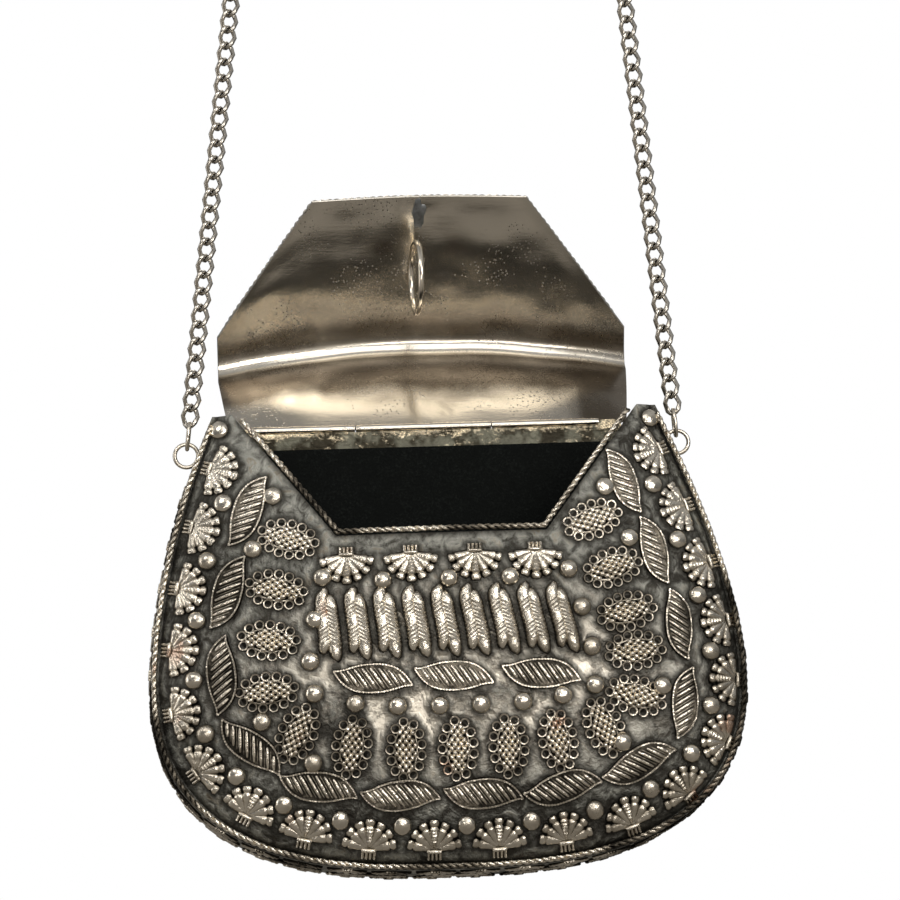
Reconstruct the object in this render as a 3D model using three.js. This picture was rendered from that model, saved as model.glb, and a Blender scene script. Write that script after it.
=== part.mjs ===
import * as THREE from 'three';

// A metal box purse with its lid open, hanging by a curb chain.
// Millimetres. X is the width, the front faces -Y, +Z is up.
// The case frame used below has z = 0 at the tips of the two horns beside the mouth,
// y = 0 at the front rim of the band and y = caseDepth at its back rim.

// Case
const caseDepth = 32;
const hornHalfWidth = 63.5;
const widestHalfWidth = 84.3;
const widestDrop = 77;
const caseHeight = 130.6;
const caseLean = 1.6;
const sheet = 1;
const gap = 0.3;
const frontRise = 15;
const backRise = 6;
const rimRatio = 0.974;
const peakDrop = 60;
const mouthSag = 0.52;
const sideCurve = 1.68;
const bottomCurve = 2.4;
const cornerCurve = 0.36;

// Notch in the top of the front plate
const mouthHalfWidth = 58;
const notchHalfWidth = 29.6;
const notchDrop = 37.4;
const notchSideShare = 0.3125;

// Twisted wire edging
const ropeRadius = 0.9;

// Hinge along the top of the back plate
const hingeHeight = 1.7;
const hingeLength = 104;
const hingeRadius = 1.3;
const hingeBore = 0.8;
const pinRadius = 0.5;
const middleKnuckle = 40;

// Lid, in the closed pose: a flat top strip, a bowed crease and a flap down the front
const openTurn = 138;
const stripHinge = 1.7;
const stripEnds = 37;
const creaseBow = 11.2;
const stripLift = 0.9;
const stripHalfWidth = 59;
const creaseHalfWidth = 62;
const flapTilt = 5.5;
const creaseRadius = 2.5;
const shoulderDrop = 11.6;
const flapLength = 51;
const flapEndHalfWidth = 32.3;

// Catch ring on the inside of the flap
const catchRadius = 10.5;
const catchWire = 0.95;
const catchDrop = 29.6;

// Lugs, jump links and chain
const lugDrop = 8;
const lugRadius = 3.4;
const lugWire = 0.6;
const lugOffset = 4.4;
const jumpLength = 9;
const jumpWidth = 5;
const jumpWire = 0.6;
const chainRise = 430;
const chainShift = 12;
const chainArcRadius = 31;
const linkPitch = 5;
const linkWidth = 5.6;
const linkDepth = 4.4;
const linkWaist = 0.66;

// Velvet lining
const velvet = 1.2;
const liningTopDrop = 4.5;
const liningTopHalfWidth = 56;
const liningRatio = 0.94;
const liningInset = 4;
const liningStandoff = 0.8;
const liningFollow = 0.86;

const metals = {
  antique: { color: 0x8d8578, roughness: 0.38, metalness: 1 },
  inside: { color: 0xb9a88f, roughness: 0.28, metalness: 1 },
  wire: { color: 0xc9bda6, roughness: 0.2, metalness: 1 },
  chain: { color: 0x8f8a80, roughness: 0.3, metalness: 1 },
};
const cloth = { color: 0x0b0c0b, roughness: 0.95, metalness: 0 };

function piece(name, geometry, look) {
  const mesh = new THREE.Mesh(geometry, new THREE.MeshStandardMaterial(look));
  mesh.name = name;
  return mesh;
}

// ---- surfaces ----------------------------------------------------------------

// The closed sheet between a grid of points (rows of columns) and the same grid
// moved by `thickness` along its normals.
function sheetGeometry(grid, thickness) {
  const rows = grid.length;
  const columns = grid[0].length;
  const across = new THREE.Vector3();
  const along = new THREE.Vector3();
  const points = [];
  const clampRow = (r) => Math.min(Math.max(r, 0), rows - 1);
  const clampColumn = (c) => Math.min(Math.max(c, 0), columns - 1);
  for (let r = 0; r < rows; r++) {
    for (let c = 0; c < columns; c++) points.push(grid[r][c].clone());
  }
  for (let r = 0; r < rows; r++) {
    for (let c = 0; c < columns; c++) {
      along.subVectors(grid[clampRow(r + 1)][c], grid[clampRow(r - 1)][c]);
      across.subVectors(grid[r][clampColumn(c + 1)], grid[r][clampColumn(c - 1)]);
      const normal = new THREE.Vector3().crossVectors(across, along).normalize();
      points.push(grid[r][c].clone().addScaledVector(normal, thickness));
    }
  }
  const first = (r, c) => r * columns + c;
  const second = (r, c) => rows * columns + r * columns + c;
  const index = [];
  const quad = (a, b, c, d) => index.push(a, b, c, a, c, d);
  for (let r = 0; r < rows - 1; r++) {
    for (let c = 0; c < columns - 1; c++) {
      quad(first(r, c), first(r + 1, c), first(r + 1, c + 1), first(r, c + 1));
      quad(second(r, c), second(r, c + 1), second(r + 1, c + 1), second(r + 1, c));
    }
  }
  for (let c = 0; c < columns - 1; c++) {
    quad(first(0, c), first(0, c + 1), second(0, c + 1), second(0, c));
    quad(first(rows - 1, c + 1), first(rows - 1, c), second(rows - 1, c), second(rows - 1, c + 1));
  }
  for (let r = 0; r < rows - 1; r++) {
    quad(first(r + 1, 0), first(r, 0), second(r, 0), second(r + 1, 0));
    quad(first(r, columns - 1), first(r + 1, columns - 1), second(r + 1, columns - 1), second(r, columns - 1));
  }
  return meshOf(points, index);
}

function meshOf(points, index) {
  const geometry = new THREE.BufferGeometry();
  geometry.setFromPoints(points);
  geometry.setIndex(index);
  return geometry;
}

function spacedPoints(count, pointAt) {
  return Array.from({ length: count + 1 }, (_, i) => pointAt(i / count));
}

// A round wire along a path.
function wireGeometry(points, radius, steps, sides, closed = false) {
  const section = new THREE.Shape().absarc(0, 0, radius, 0, 2 * Math.PI, false);
  return new THREE.ExtrudeGeometry(section, {
    extrudePath: new THREE.CatmullRomCurve3(points, closed, 'centripetal'),
    steps,
    curveSegments: sides / 2,
    bevelEnabled: false,
  });
}

// ---- the case's outline and its domes ------------------------------------------

// Half the width of the case at a height z: sides that spread from the horns to
// the widest level, then a rounded bottom.
function halfWidth(z) {
  if (z > -widestDrop) {
    return widestHalfWidth - (widestHalfWidth - hornHalfWidth) * ((z + widestDrop) / widestDrop) ** sideCurve;
  }
  const v = (-widestDrop - z) / (caseHeight - widestDrop);
  return widestHalfWidth * Math.max(1 - v ** bottomCurve, 0) ** cornerCurve;
}

// The hand-beaten case leans: its lower part stands a little to the right of its horns.
function lean(z) {
  const k = Math.min(Math.max(-z / widestDrop, 0), 1);
  return (caseLean * (1 - Math.cos(Math.PI * k))) / 2;
}

// The outline from the left horn round the bottom to the right horn, as x and z.
function outlineCurve() {
  const sideSteps = 8;
  const bottomSteps = 14;
  const right = [];
  for (let i = 0; i <= sideSteps; i++) {
    const z = (-widestDrop * i) / sideSteps;
    right.push(new THREE.Vector2(halfWidth(z), z));
  }
  for (let i = 1; i < bottomSteps; i++) {
    const turn = (i * Math.PI) / (2 * bottomSteps);
    const x = widestHalfWidth * Math.cos(turn) ** (2 * cornerCurve);
    const z = -widestDrop - (caseHeight - widestDrop) * Math.sin(turn) ** (2 / bottomCurve);
    right.push(new THREE.Vector2(x, z));
  }
  const left = right.map((p) => new THREE.Vector2(-p.x, p.y));
  const points = [...left, new THREE.Vector2(0, -caseHeight), ...right.reverse()];
  points.forEach((p) => (p.x += lean(p.y)));
  return new THREE.SplineCurve(points);
}
const outline = outlineCurve();

// The outline drawn in by `ratio`, the line where the dome meets its flat rim.
function insetPoint(p, ratio) {
  const z = p.y < -widestDrop ? -widestDrop + (p.y + widestDrop) * ratio : p.y;
  return new THREE.Vector2(lean(z) + (p.x - lean(p.y)) * ratio, z);
}

// The outline's point at `t`, moved straight inwards.
function drawnInPoint(t, distance) {
  const tangent = outline.getTangentAt(t);
  const inward = new THREE.Vector2(-tangent.y, tangent.x);
  return outline.getPointAt(t).addScaledVector(inward, distance);
}

// How far a plate stands out at x and z, from 0 on the rim to 1 at its peak. At the
// top of the case the middle stands out by `topFactor`.
function bulge(x, z, topFactor) {
  const level = -widestDrop + (z + widestDrop) / (z < -widestDrop ? rimRatio : 1);
  const reach = halfWidth(level) * rimRatio;
  const across = reach > 0 ? Math.max(1 - Math.abs((x - lean(z)) / reach) ** 2.4, 0) ** 0.7 : 0;
  if (z > -peakDrop) return across * (1 - (1 - topFactor) * ((z + peakDrop) / peakDrop) ** 2);
  const lowest = widestDrop + (caseHeight - widestDrop) * rimRatio;
  const v = Math.min((-peakDrop - z) / (lowest - peakDrop), 1);
  return across * (1 - v ** 2.2) ** 0.6;
}

const frontHeight = (x, z) => frontRise * bulge(x, z, 1 - mouthSag);
const backHeight = (x, z) => backRise * bulge(x, z, 0);

// The notch's edge from the left horn to the right one.
function notchPoint(t) {
  const fromEnd = Math.min(t, 1 - t);
  if (fromEnd < notchSideShare) {
    const k = fromEnd / notchSideShare;
    const x = THREE.MathUtils.lerp(mouthHalfWidth, notchHalfWidth, k);
    return new THREE.Vector2(t < 0.5 ? -x : x, -notchDrop * k);
  }
  return new THREE.Vector2(((t - 0.5) / (0.5 - notchSideShare)) * notchHalfWidth, -notchDrop);
}

// Rows from an inner edge out to the case's outline, with a flat rim as the last one.
function plateGrid(innerPoint, columns, rows, height) {
  const grid = [];
  for (let r = 0; r <= rows; r++) {
    const w = 1 - (1 - Math.min(r / (rows - 1), 1)) ** 1.5;
    grid.push(
      spacedPoints(columns, (t) => {
        const edge = outline.getPointAt(t);
        if (r === rows) return new THREE.Vector3(edge.x, height(edge.x, edge.y), edge.y);
        const p = innerPoint(t).lerp(insetPoint(edge, rimRatio), w);
        return new THREE.Vector3(p.x, height(p.x, p.y), p.y);
      }),
    );
  }
  return grid;
}

function frontPlate() {
  const grid = plateGrid(notchPoint, 48, 10, (x, z) => -sheet - frontHeight(x, z));
  return piece('front_plate', sheetGeometry(grid, sheet), metals.antique);
}

function backPlate() {
  const topPoint = (t) => new THREE.Vector2((2 * t - 1) * mouthHalfWidth, 0);
  const grid = plateGrid(topPoint, 36, 7, (x, z) => caseDepth + backHeight(x, z));
  return piece('back_plate', sheetGeometry(grid, sheet), metals.antique);
}

function sideBand() {
  const rims = [gap, caseDepth - gap];
  const grid = rims.map((y) =>
    spacedPoints(88, (t) => {
      const p = outline.getPointAt(t);
      return new THREE.Vector3(p.x, y, p.y);
    }),
  );
  return piece('side_band', sheetGeometry(grid, sheet), metals.antique);
}

// ---- edging --------------------------------------------------------------------

// Wire laid on a flat rim, `side` -1 on the front and +1 on the back.
function rimEdging(name, y, side) {
  const points = spacedPoints(72, (t) => {
    const p = drawnInPoint(0.006 + 0.988 * t, ropeRadius);
    return new THREE.Vector3(p.x, y + side * (gap + ropeRadius), p.y);
  });
  return piece(name, wireGeometry(points, ropeRadius, 72, 6), metals.antique);
}

// Wire beside the notch's edge, level with the outside of the plate.
function notchEdging() {
  const away = ropeRadius + gap;
  const slant = Math.atan2(notchDrop, mouthHalfWidth - notchHalfWidth);
  const steps = 32;
  const points = [];
  for (let i = 1; i < steps; i++) {
    const p = notchPoint(i / steps);
    const onSide = p.y > -notchDrop;
    const inward = onSide ? Math.sign(p.x) * Math.sin(slant) * away : 0;
    const up = onSide ? Math.cos(slant) * away : away;
    points.push(new THREE.Vector3(p.x - inward, -sheet - frontHeight(p.x, p.y), p.y + up));
  }
  return piece('notch_edging', wireGeometry(points, ropeRadius, 44, 6), metals.antique);
}

// ---- hinge ---------------------------------------------------------------------

function knuckle(name, from, to) {
  const profile = [
    [hingeBore, from],
    [hingeRadius, from],
    [hingeRadius, to],
    [hingeBore, to],
    [hingeBore, from],
  ].map(([r, y]) => new THREE.Vector2(r, y));
  const mesh = piece(name, new THREE.LatheGeometry(profile, 12), metals.inside);
  mesh.rotation.z = -Math.PI / 2;
  return mesh;
}

function hingeOnCase() {
  const group = new THREE.Group();
  const inner = middleKnuckle / 2 + gap;
  const end = hingeLength / 2;
  const pin = piece('hinge_pin', new THREE.CylinderGeometry(pinRadius, pinRadius, hingeLength - 1, 12), metals.wire);
  pin.rotation.z = Math.PI / 2;
  group.add(knuckle('hinge_knuckle_left', -end, -inner), knuckle('hinge_knuckle_right', inner, end), pin);
  group.position.set(0, caseDepth + sheet / 2, hingeHeight);
  return group;
}

// ---- lid -----------------------------------------------------------------------

// The lid's outside, drawn closed with the hinge line at the origin. `across` runs
// from -1 to 1, and `row` from the hinge over the crease to the flap's end.
const foldTurn = Math.PI / 2 - THREE.MathUtils.degToRad(flapTilt);
const foldTrim = creaseRadius * Math.tan(foldTurn / 2);
const lidTop = stripLift + sheet / 2;

function creaseReach(x) {
  return stripEnds + creaseBow * (1 - (x / creaseHalfWidth) ** 2);
}

function flapHalfWidth(drop) {
  if (drop < shoulderDrop) return creaseHalfWidth;
  const k = (drop - shoulderDrop) / (flapLength - shoulderDrop);
  return THREE.MathUtils.lerp(creaseHalfWidth, flapEndHalfWidth, k);
}

function stripPoint(across, k) {
  const x = across * THREE.MathUtils.lerp(stripHalfWidth, creaseHalfWidth, k);
  const y = THREE.MathUtils.lerp(stripHinge, creaseReach(x) - foldTrim, k);
  return new THREE.Vector3(x, -y, lidTop);
}

function foldPoint(across, k) {
  const x = across * creaseHalfWidth;
  const turn = foldTurn * k;
  const y = creaseReach(x) - foldTrim + creaseRadius * Math.sin(turn);
  const z = lidTop - creaseRadius * (1 - Math.cos(turn));
  return new THREE.Vector3(x, -y, z);
}

function flapPoint(across, drop) {
  const x = across * flapHalfWidth(drop);
  const y = creaseReach(x) + drop * Math.cos(foldTurn);
  const z = lidTop - drop * Math.sin(foldTurn);
  return new THREE.Vector3(x, -y, z);
}

function lidSheet() {
  const columns = 28;
  const row = (place) => spacedPoints(columns, (t) => place(2 * t - 1));
  const grid = [];
  for (let i = 0; i <= 3; i++) grid.push(row((across) => stripPoint(across, i / 3)));
  for (let i = 1; i <= 3; i++) grid.push(row((across) => foldPoint(across, i / 3)));
  for (let i = 1; i <= 2; i++) {
    const drop = THREE.MathUtils.lerp(foldTrim, shoulderDrop, i / 2);
    grid.push(row((across) => flapPoint(across, drop)));
  }
  for (let i = 1; i <= 4; i++) {
    const drop = THREE.MathUtils.lerp(shoulderDrop, flapLength, i / 4);
    grid.push(row((across) => flapPoint(across, drop)));
  }
  return piece('lid', sheetGeometry(grid, sheet), metals.inside);
}

// Wire along the flap's edge, on its outside.
function lidEdging() {
  const inset = 1.2;
  const points = [];
  const lay = (across, drop) => {
    const p = flapPoint(across * (1 - inset / flapHalfWidth(drop)), drop);
    points.push(p.add(new THREE.Vector3(0, -(gap + ropeRadius), 0)));
  };
  const side = [5, 8, shoulderDrop - 0.6];
  for (let i = 1; i <= 8; i++) side.push(THREE.MathUtils.lerp(shoulderDrop, flapLength - inset, i / 8));
  side.forEach((drop) => lay(-1, drop));
  for (let i = 1; i < 12; i++) lay(-1 + i / 6, flapLength - inset);
  side.reverse().forEach((drop) => lay(1, drop));
  return piece('lid_edging', wireGeometry(points, ropeRadius, 52, 6), metals.antique);
}

// The ring stands square to the flap, its round side against the sheet.
function catchRing() {
  const centre = flapPoint(0, catchDrop);
  const inward = new THREE.Vector3(0, Math.sin(foldTurn), -Math.cos(foldTurn));
  centre.addScaledVector(inward, sheet + gap + catchWire + catchRadius);
  const ring = piece('catch_ring', new THREE.TorusGeometry(catchRadius, catchWire, 8, 28), metals.wire);
  ring.rotation.y = Math.PI / 2;
  ring.position.copy(centre);
  return ring;
}

function lidGroup() {
  const closed = new THREE.Group();
  const half = middleKnuckle / 2;
  closed.add(lidSheet(), lidEdging(), catchRing(), knuckle('hinge_knuckle_middle', -half, half));
  closed.rotation.x = -THREE.MathUtils.degToRad(openTurn);
  closed.position.set(0, caseDepth + sheet / 2, hingeHeight);
  return closed;
}

// ---- lining --------------------------------------------------------------------

function liningBack() {
  const topPoint = (t) => new THREE.Vector2((2 * t - 1) * liningTopHalfWidth, -liningTopDrop);
  const grid = liningGrid(topPoint, (x, z) => caseDepth - liningStandoff - velvet + liningFollow * backHeight(x, z));
  return piece('lining_back', sheetGeometry(grid, velvet), cloth);
}

function liningFront() {
  const below = (t) => {
    const p = notchPoint(t);
    return new THREE.Vector2(p.x * 1.03, p.y - 1.5);
  };
  const grid = liningGrid(below, (x, z) => liningStandoff - liningFollow * frontHeight(x, z));
  return piece('lining_front', sheetGeometry(grid, velvet), cloth);
}

function liningGrid(innerPoint, height) {
  const rows = 5;
  const grid = [];
  for (let r = 0; r <= rows; r++) {
    const w = 1 - (1 - r / rows) ** 1.5;
    grid.push(
      spacedPoints(22, (t) => {
        const edge = insetPoint(outline.getPointAt(0.03 + 0.94 * t), liningRatio);
        const p = innerPoint(t).lerp(edge, w);
        return new THREE.Vector3(p.x, height(p.x, p.y), p.y);
      }),
    );
  }
  return grid;
}

function liningBand() {
  const rims = [liningInset, caseDepth - liningInset];
  const grid = rims.map((y) =>
    spacedPoints(66, (t) => {
      const p = drawnInPoint(0.02 + 0.96 * t, sheet + gap + 0.3);
      return new THREE.Vector3(p.x, y, p.y);
    }),
  );
  return piece('lining_band', sheetGeometry(grid, velvet), cloth);
}

// ---- lugs, jump links and chain ------------------------------------------------

const lugX = halfWidth(-lugDrop) + lugOffset;
const arcCentre = new THREE.Vector2(chainShift, chainRise - lugDrop);

// Where a straight run from a lug meets the chain's top arc, and the run's direction.
function chainRun(side) {
  const lug = new THREE.Vector2(side * lugX, -lugDrop);
  const toCentre = arcCentre.clone().sub(lug);
  const length = Math.sqrt(toCentre.lengthSq() - chainArcRadius ** 2);
  const spread = Math.asin(chainArcRadius / toCentre.length()) * side;
  const direction = toCentre.clone().normalize().rotateAround(new THREE.Vector2(), -spread);
  return { lug, direction, length };
}

function lugAndJumpLink(side, label) {
  const { lug, direction } = chainRun(side);
  const group = new THREE.Group();
  const loop = piece(`lug_${label}`, new THREE.TorusGeometry(lugRadius, lugWire, 8, 20), metals.wire);
  loop.rotation.x = Math.PI / 2;
  group.add(loop);
  const oval = [];
  for (let i = 0; i < 16; i++) {
    const turn = (i * Math.PI) / 8;
    const y = (jumpWidth / 2 - jumpWire) * Math.cos(turn);
    const z = (jumpLength / 2 - jumpWire) * Math.sin(turn);
    oval.push(new THREE.Vector3(0, y, z));
  }
  const jump = piece(`jump_link_${label}`, wireGeometry(oval, jumpWire, 24, 6, true), metals.wire);
  const tilt = new THREE.Group();
  tilt.rotation.y = Math.atan2(direction.x, direction.y);
  jump.position.z = jumpCentre();
  tilt.add(jump);
  group.add(tilt);
  group.position.set(lug.x, caseDepth / 2, lug.y);
  return group;
}

// The jump link hangs the lug from below its top wire, so this is how far above
// the lug's centre its own centre is.
function jumpCentre() {
  return lugRadius - lugWire - gap - jumpWire + jumpLength / 2 - jumpWire;
}

// A run of links joined into one solid, wide at each link's middle and narrow
// between links.
function linkedSolid(pointAt, directionAt, length) {
  const links = Math.round(length / linkPitch);
  const points = [];
  const depth = new THREE.Vector3(0, 1, 0);
  for (let i = 0; i <= 2 * links; i++) {
    const centre = pointAt(i / (2 * links));
    const side = new THREE.Vector3().crossVectors(directionAt(i / (2 * links)), depth);
    const size = i % 2 === 1 ? 1 : linkWaist;
    points.push(centre.clone().addScaledVector(side, (size * linkWidth) / 2));
    points.push(centre.clone().addScaledVector(depth, (size * linkDepth) / 2));
    points.push(centre.clone().addScaledVector(side, (-size * linkWidth) / 2));
    points.push(centre.clone().addScaledVector(depth, (-size * linkDepth) / 2));
  }
  const index = [];
  for (let i = 0; i < 2 * links; i++) {
    for (let k = 0; k < 4; k++) {
      const a = 4 * i + k;
      const b = 4 * i + ((k + 1) % 4);
      index.push(a, b + 4, b, a, a + 4, b + 4);
    }
  }
  const last = 8 * links;
  index.push(0, 1, 2, 0, 2, 3, last, last + 2, last + 1, last, last + 3, last + 2);
  return meshOf(points, index);
}

function chainSide(side, label) {
  const { lug, direction, length } = chainRun(side);
  const up = new THREE.Vector3(direction.x, 0, direction.y);
  const start = jumpCentre() + jumpLength / 2 + gap;
  const base = new THREE.Vector3(lug.x, caseDepth / 2, lug.y);
  const pointAt = (t) => base.clone().addScaledVector(up, THREE.MathUtils.lerp(start, length - gap, t));
  return piece(`chain_${label}`, linkedSolid(pointAt, () => up, length - gap - start), metals.chain);
}

function chainTop() {
  const left = chainRun(-1).direction;
  const right = chainRun(1).direction;
  const from = Math.PI - Math.atan2(left.x, left.y);
  const to = Math.atan2(-right.x, right.y);
  const turnAt = (t) => THREE.MathUtils.lerp(from, to, t);
  const pointAt = (t) => {
    const x = arcCentre.x + chainArcRadius * Math.cos(turnAt(t));
    const z = arcCentre.y + chainArcRadius * Math.sin(turnAt(t));
    return new THREE.Vector3(x, caseDepth / 2, z);
  };
  const directionAt = (t) => new THREE.Vector3(Math.sin(turnAt(t)), 0, -Math.cos(turnAt(t)));
  const geometry = linkedSolid(pointAt, directionAt, (from - to) * chainArcRadius);
  return piece('chain_top', geometry, metals.chain);
}

// ---- the purse -----------------------------------------------------------------

const purse = new THREE.Group();
purse.add(frontPlate(), backPlate(), sideBand());
purse.add(rimEdging('front_edging', -sheet, -1), rimEdging('back_edging', caseDepth + sheet, 1));
purse.add(notchEdging(), hingeOnCase(), lidGroup());
purse.add(liningBack(), liningFront(), liningBand());
purse.add(lugAndJumpLink(-1, 'left'), lugAndJumpLink(1, 'right'));
purse.add(chainSide(-1, 'left'), chainSide(1, 'right'), chainTop());

// The origin is the point that carries the chain, under the middle of its top arc.
const hangPoint = new THREE.Vector3(arcCentre.x, caseDepth / 2, arcCentre.y + chainArcRadius - linkWidth / 2);
purse.position.copy(hangPoint).negate();

export default purse;
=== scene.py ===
import math
import bpy
import bmesh
from mathutils import Euler, Matrix, Vector, kdtree, noise


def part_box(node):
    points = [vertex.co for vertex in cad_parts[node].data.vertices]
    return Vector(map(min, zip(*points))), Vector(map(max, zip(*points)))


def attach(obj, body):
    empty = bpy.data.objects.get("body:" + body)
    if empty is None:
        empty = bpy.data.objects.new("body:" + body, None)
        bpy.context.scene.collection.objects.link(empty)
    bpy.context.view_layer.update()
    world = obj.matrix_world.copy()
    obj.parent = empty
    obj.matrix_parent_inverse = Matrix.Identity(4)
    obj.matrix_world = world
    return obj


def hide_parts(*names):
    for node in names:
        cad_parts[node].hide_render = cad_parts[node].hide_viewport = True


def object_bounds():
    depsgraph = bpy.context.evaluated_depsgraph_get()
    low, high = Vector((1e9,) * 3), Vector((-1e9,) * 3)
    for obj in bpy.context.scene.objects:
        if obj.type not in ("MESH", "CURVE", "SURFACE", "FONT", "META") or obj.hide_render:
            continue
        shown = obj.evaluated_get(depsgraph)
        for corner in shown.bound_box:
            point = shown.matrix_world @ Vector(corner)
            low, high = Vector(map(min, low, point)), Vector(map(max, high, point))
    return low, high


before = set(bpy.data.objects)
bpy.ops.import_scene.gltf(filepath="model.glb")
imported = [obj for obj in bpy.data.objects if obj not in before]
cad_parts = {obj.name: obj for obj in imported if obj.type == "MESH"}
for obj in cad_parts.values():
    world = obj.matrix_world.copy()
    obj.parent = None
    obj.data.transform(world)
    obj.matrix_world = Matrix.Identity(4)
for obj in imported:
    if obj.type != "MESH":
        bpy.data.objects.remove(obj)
cadLow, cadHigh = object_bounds()
mm = 0.001

# The purse's form in millimetres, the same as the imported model's
form = {
    "depth": 32, "hornHalfWidth": 63.5, "widest": 84.3, "widestDrop": 77, "height": 130.6, "lean": 1.6,
    "sheet": 1, "gap": 0.3, "frontRise": 15, "backRise": 6, "rimRatio": 0.974, "peakDrop": 60,
    "mouthSag": 0.52, "mouthHalfWidth": 58, "notchHalfWidth": 29.6, "notchDrop": 37.4, "notchShare": 0.3125,
    "sideCurve": 1.68, "bottomCurve": 2.4, "bottomRound": 0.36,
    "domeCurve": 2.4, "domeRound": 0.7, "domeFall": 2.2, "domeFallRound": 0.6,
}
midDepth = form["depth"] / 2
outlineSteps = 480

# The case's own frame: x = 0 in the middle, y = 0 at the front rim, z = 0 at the tips of the two
# horns beside the mouth
bandLow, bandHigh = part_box("side_band")
caseX = (bandLow.x + bandHigh.x) / 2
caseY = (bandLow.y + bandHigh.y) / 2 - midDepth * mm
caseZ = bandHigh.z


def rowPoint(x, y, z):
    return Vector((caseX + x * mm, caseY + y * mm, caseZ + z * mm))


def lerp(a, b, k):
    return a + (b - a) * k


def smooth(low, high, value):
    k = min(max((value - low) / (high - low), 0), 1)
    return k * k * (3 - 2 * k)


def hump(k, middle, width):
    return math.exp(-((k - middle) / width) ** 2)


def turned(a, b, turn):
    return a * math.cos(turn) - b * math.sin(turn), a * math.sin(turn) + b * math.cos(turn)


# Soft noise from about -1 to 1, the same each run
def wobble(a, b, c):
    return noise.noise(Vector((a, b, c)))


def halfWidth(z):
    wide, drop = form["widest"], form["widestDrop"]
    if z > -drop:
        return wide - (wide - form["hornHalfWidth"]) * max((z + drop) / drop, 0) ** form["sideCurve"]
    v = (-drop - z) / (form["height"] - drop)
    return wide * max(1 - v ** form["bottomCurve"], 0) ** form["bottomRound"]


# The lower part stands a little to the right of the horns
def lean(z):
    k = min(max(-z / form["widestDrop"], 0), 1)
    return form["lean"] * (1 - math.cos(math.pi * k)) / 2


# How far a plate stands out at a place: 1 at its proudest, 0 at its rim
def bulge(x, z, topFactor):
    drop, ratio, peak = form["widestDrop"], form["rimRatio"], form["peakDrop"]
    level = -drop + (z + drop) / (ratio if z < -drop else 1)
    reach = halfWidth(level) * ratio
    across = 0
    if reach > 0:
        across = max(1 - abs((x - lean(z)) / reach) ** form["domeCurve"], 0) ** form["domeRound"]
    if z > -peak:
        return across * (1 - (1 - topFactor) * ((z + peak) / peak) ** 2)
    lowest = drop + (form["height"] - drop) * ratio
    v = min((-peak - z) / (lowest - peak), 1)
    return across * (1 - v ** form["domeFall"]) ** form["domeFallRound"]


def frontSkin(x, z):
    return -form["sheet"] - form["frontRise"] * bulge(x, z, 1 - form["mouthSag"])


def backSkin(x, z):
    return form["depth"] + form["sheet"] + form["backRise"] * bulge(x, z, 0)


# Outwards from the front plate
def frontNormal(x, z):
    step = 0.4
    dx = (frontSkin(x + step, z) - frontSkin(x - step, z)) / (2 * step)
    dz = (frontSkin(x, z + step) - frontSkin(x, z - step)) / (2 * step)
    return Vector((dx, -1, dz)).normalized()


# The outline from the left horn round the bottom to the right one, as x and z
def outlinePoints():
    drop, steps = form["widestDrop"], 60
    right = [(halfWidth(-drop * i / steps), -drop * i / steps) for i in range(steps + 1)]
    for i in range(1, 2 * steps):
        turn = i * math.pi / (4 * steps)
        x = form["widest"] * math.cos(turn) ** (2 * form["bottomRound"])
        z = -drop - (form["height"] - drop) * math.sin(turn) ** (2 / form["bottomCurve"])
        right.append((x, z))
    left = [(-x, z) for x, z in right]
    return [Vector((x + lean(z), z)) for x, z in left + [(0, -form["height"])] + right[::-1]]


def runLengths(points):
    lengths = [0]
    for a, b in zip(points, points[1:]):
        lengths.append(lengths[-1] + (b - a).length)
    return lengths


# The same line as `count` equal steps
def respaced(points, count):
    lengths = runLengths(points)
    made, k = [], 0
    for i in range(count + 1):
        want = lengths[-1] * i / count
        while k < len(points) - 2 and lengths[k + 1] < want:
            k += 1
        span = max(lengths[k + 1] - lengths[k], 1e-9)
        made.append(points[k].lerp(points[k + 1], min(max((want - lengths[k]) / span, 0), 1)))
    return made


# The place on a line that is `at` steps from its start
def pointOn(line, at):
    i = min(max(int(at), 0), len(line) - 2)
    return line[i].lerp(line[i + 1], at - i)


def wayAt(line, i, reach):
    return (line[min(i + reach, len(line) - 1)] - line[max(i - reach, 0)]).normalized()


outline = respaced(outlinePoints(), outlineSteps)


def drawnIn(points, distance):
    made = []
    for i, p in enumerate(points):
        along = points[min(i + 2, len(points) - 1)] - points[max(i - 2, 0)]
        made.append(p + Vector((-along.y, along.x)).normalized() * distance)
    return made


# Places along the outline drawn in by `inset`, from height topZ on the left to the same on the
# right, slid along by `slide` and pushed further in by `push`, both in millimetres. Each place is
# its x and z, and the turn that points an ornament's top outwards.
def ringPlaces(count, inset, topZ, slide, push=lambda k: 0):
    steps = 800
    line = respaced(drawnIn(outline, inset), outlineSteps)
    first = next(i for i, p in enumerate(line) if p.y < topZ)
    length = runLengths(line[first:len(line) - first])[-1]
    line = respaced(line[first // 2:len(line) - first // 2], steps)
    total = runLengths(line)[-1]
    start = (total - length) / 2
    made = []
    for n in range(count):
        k = n / (count - 1)
        i = min(max(round((start + k * length + slide(k)) / total * steps), 0), steps)
        along = wayAt(line, i, 4)
        spot = line[i] + Vector((-along.y, along.x)) * push(k)
        made.append((spot.x, spot.y, math.atan2(-along.y, -along.x)))
    return made


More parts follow.
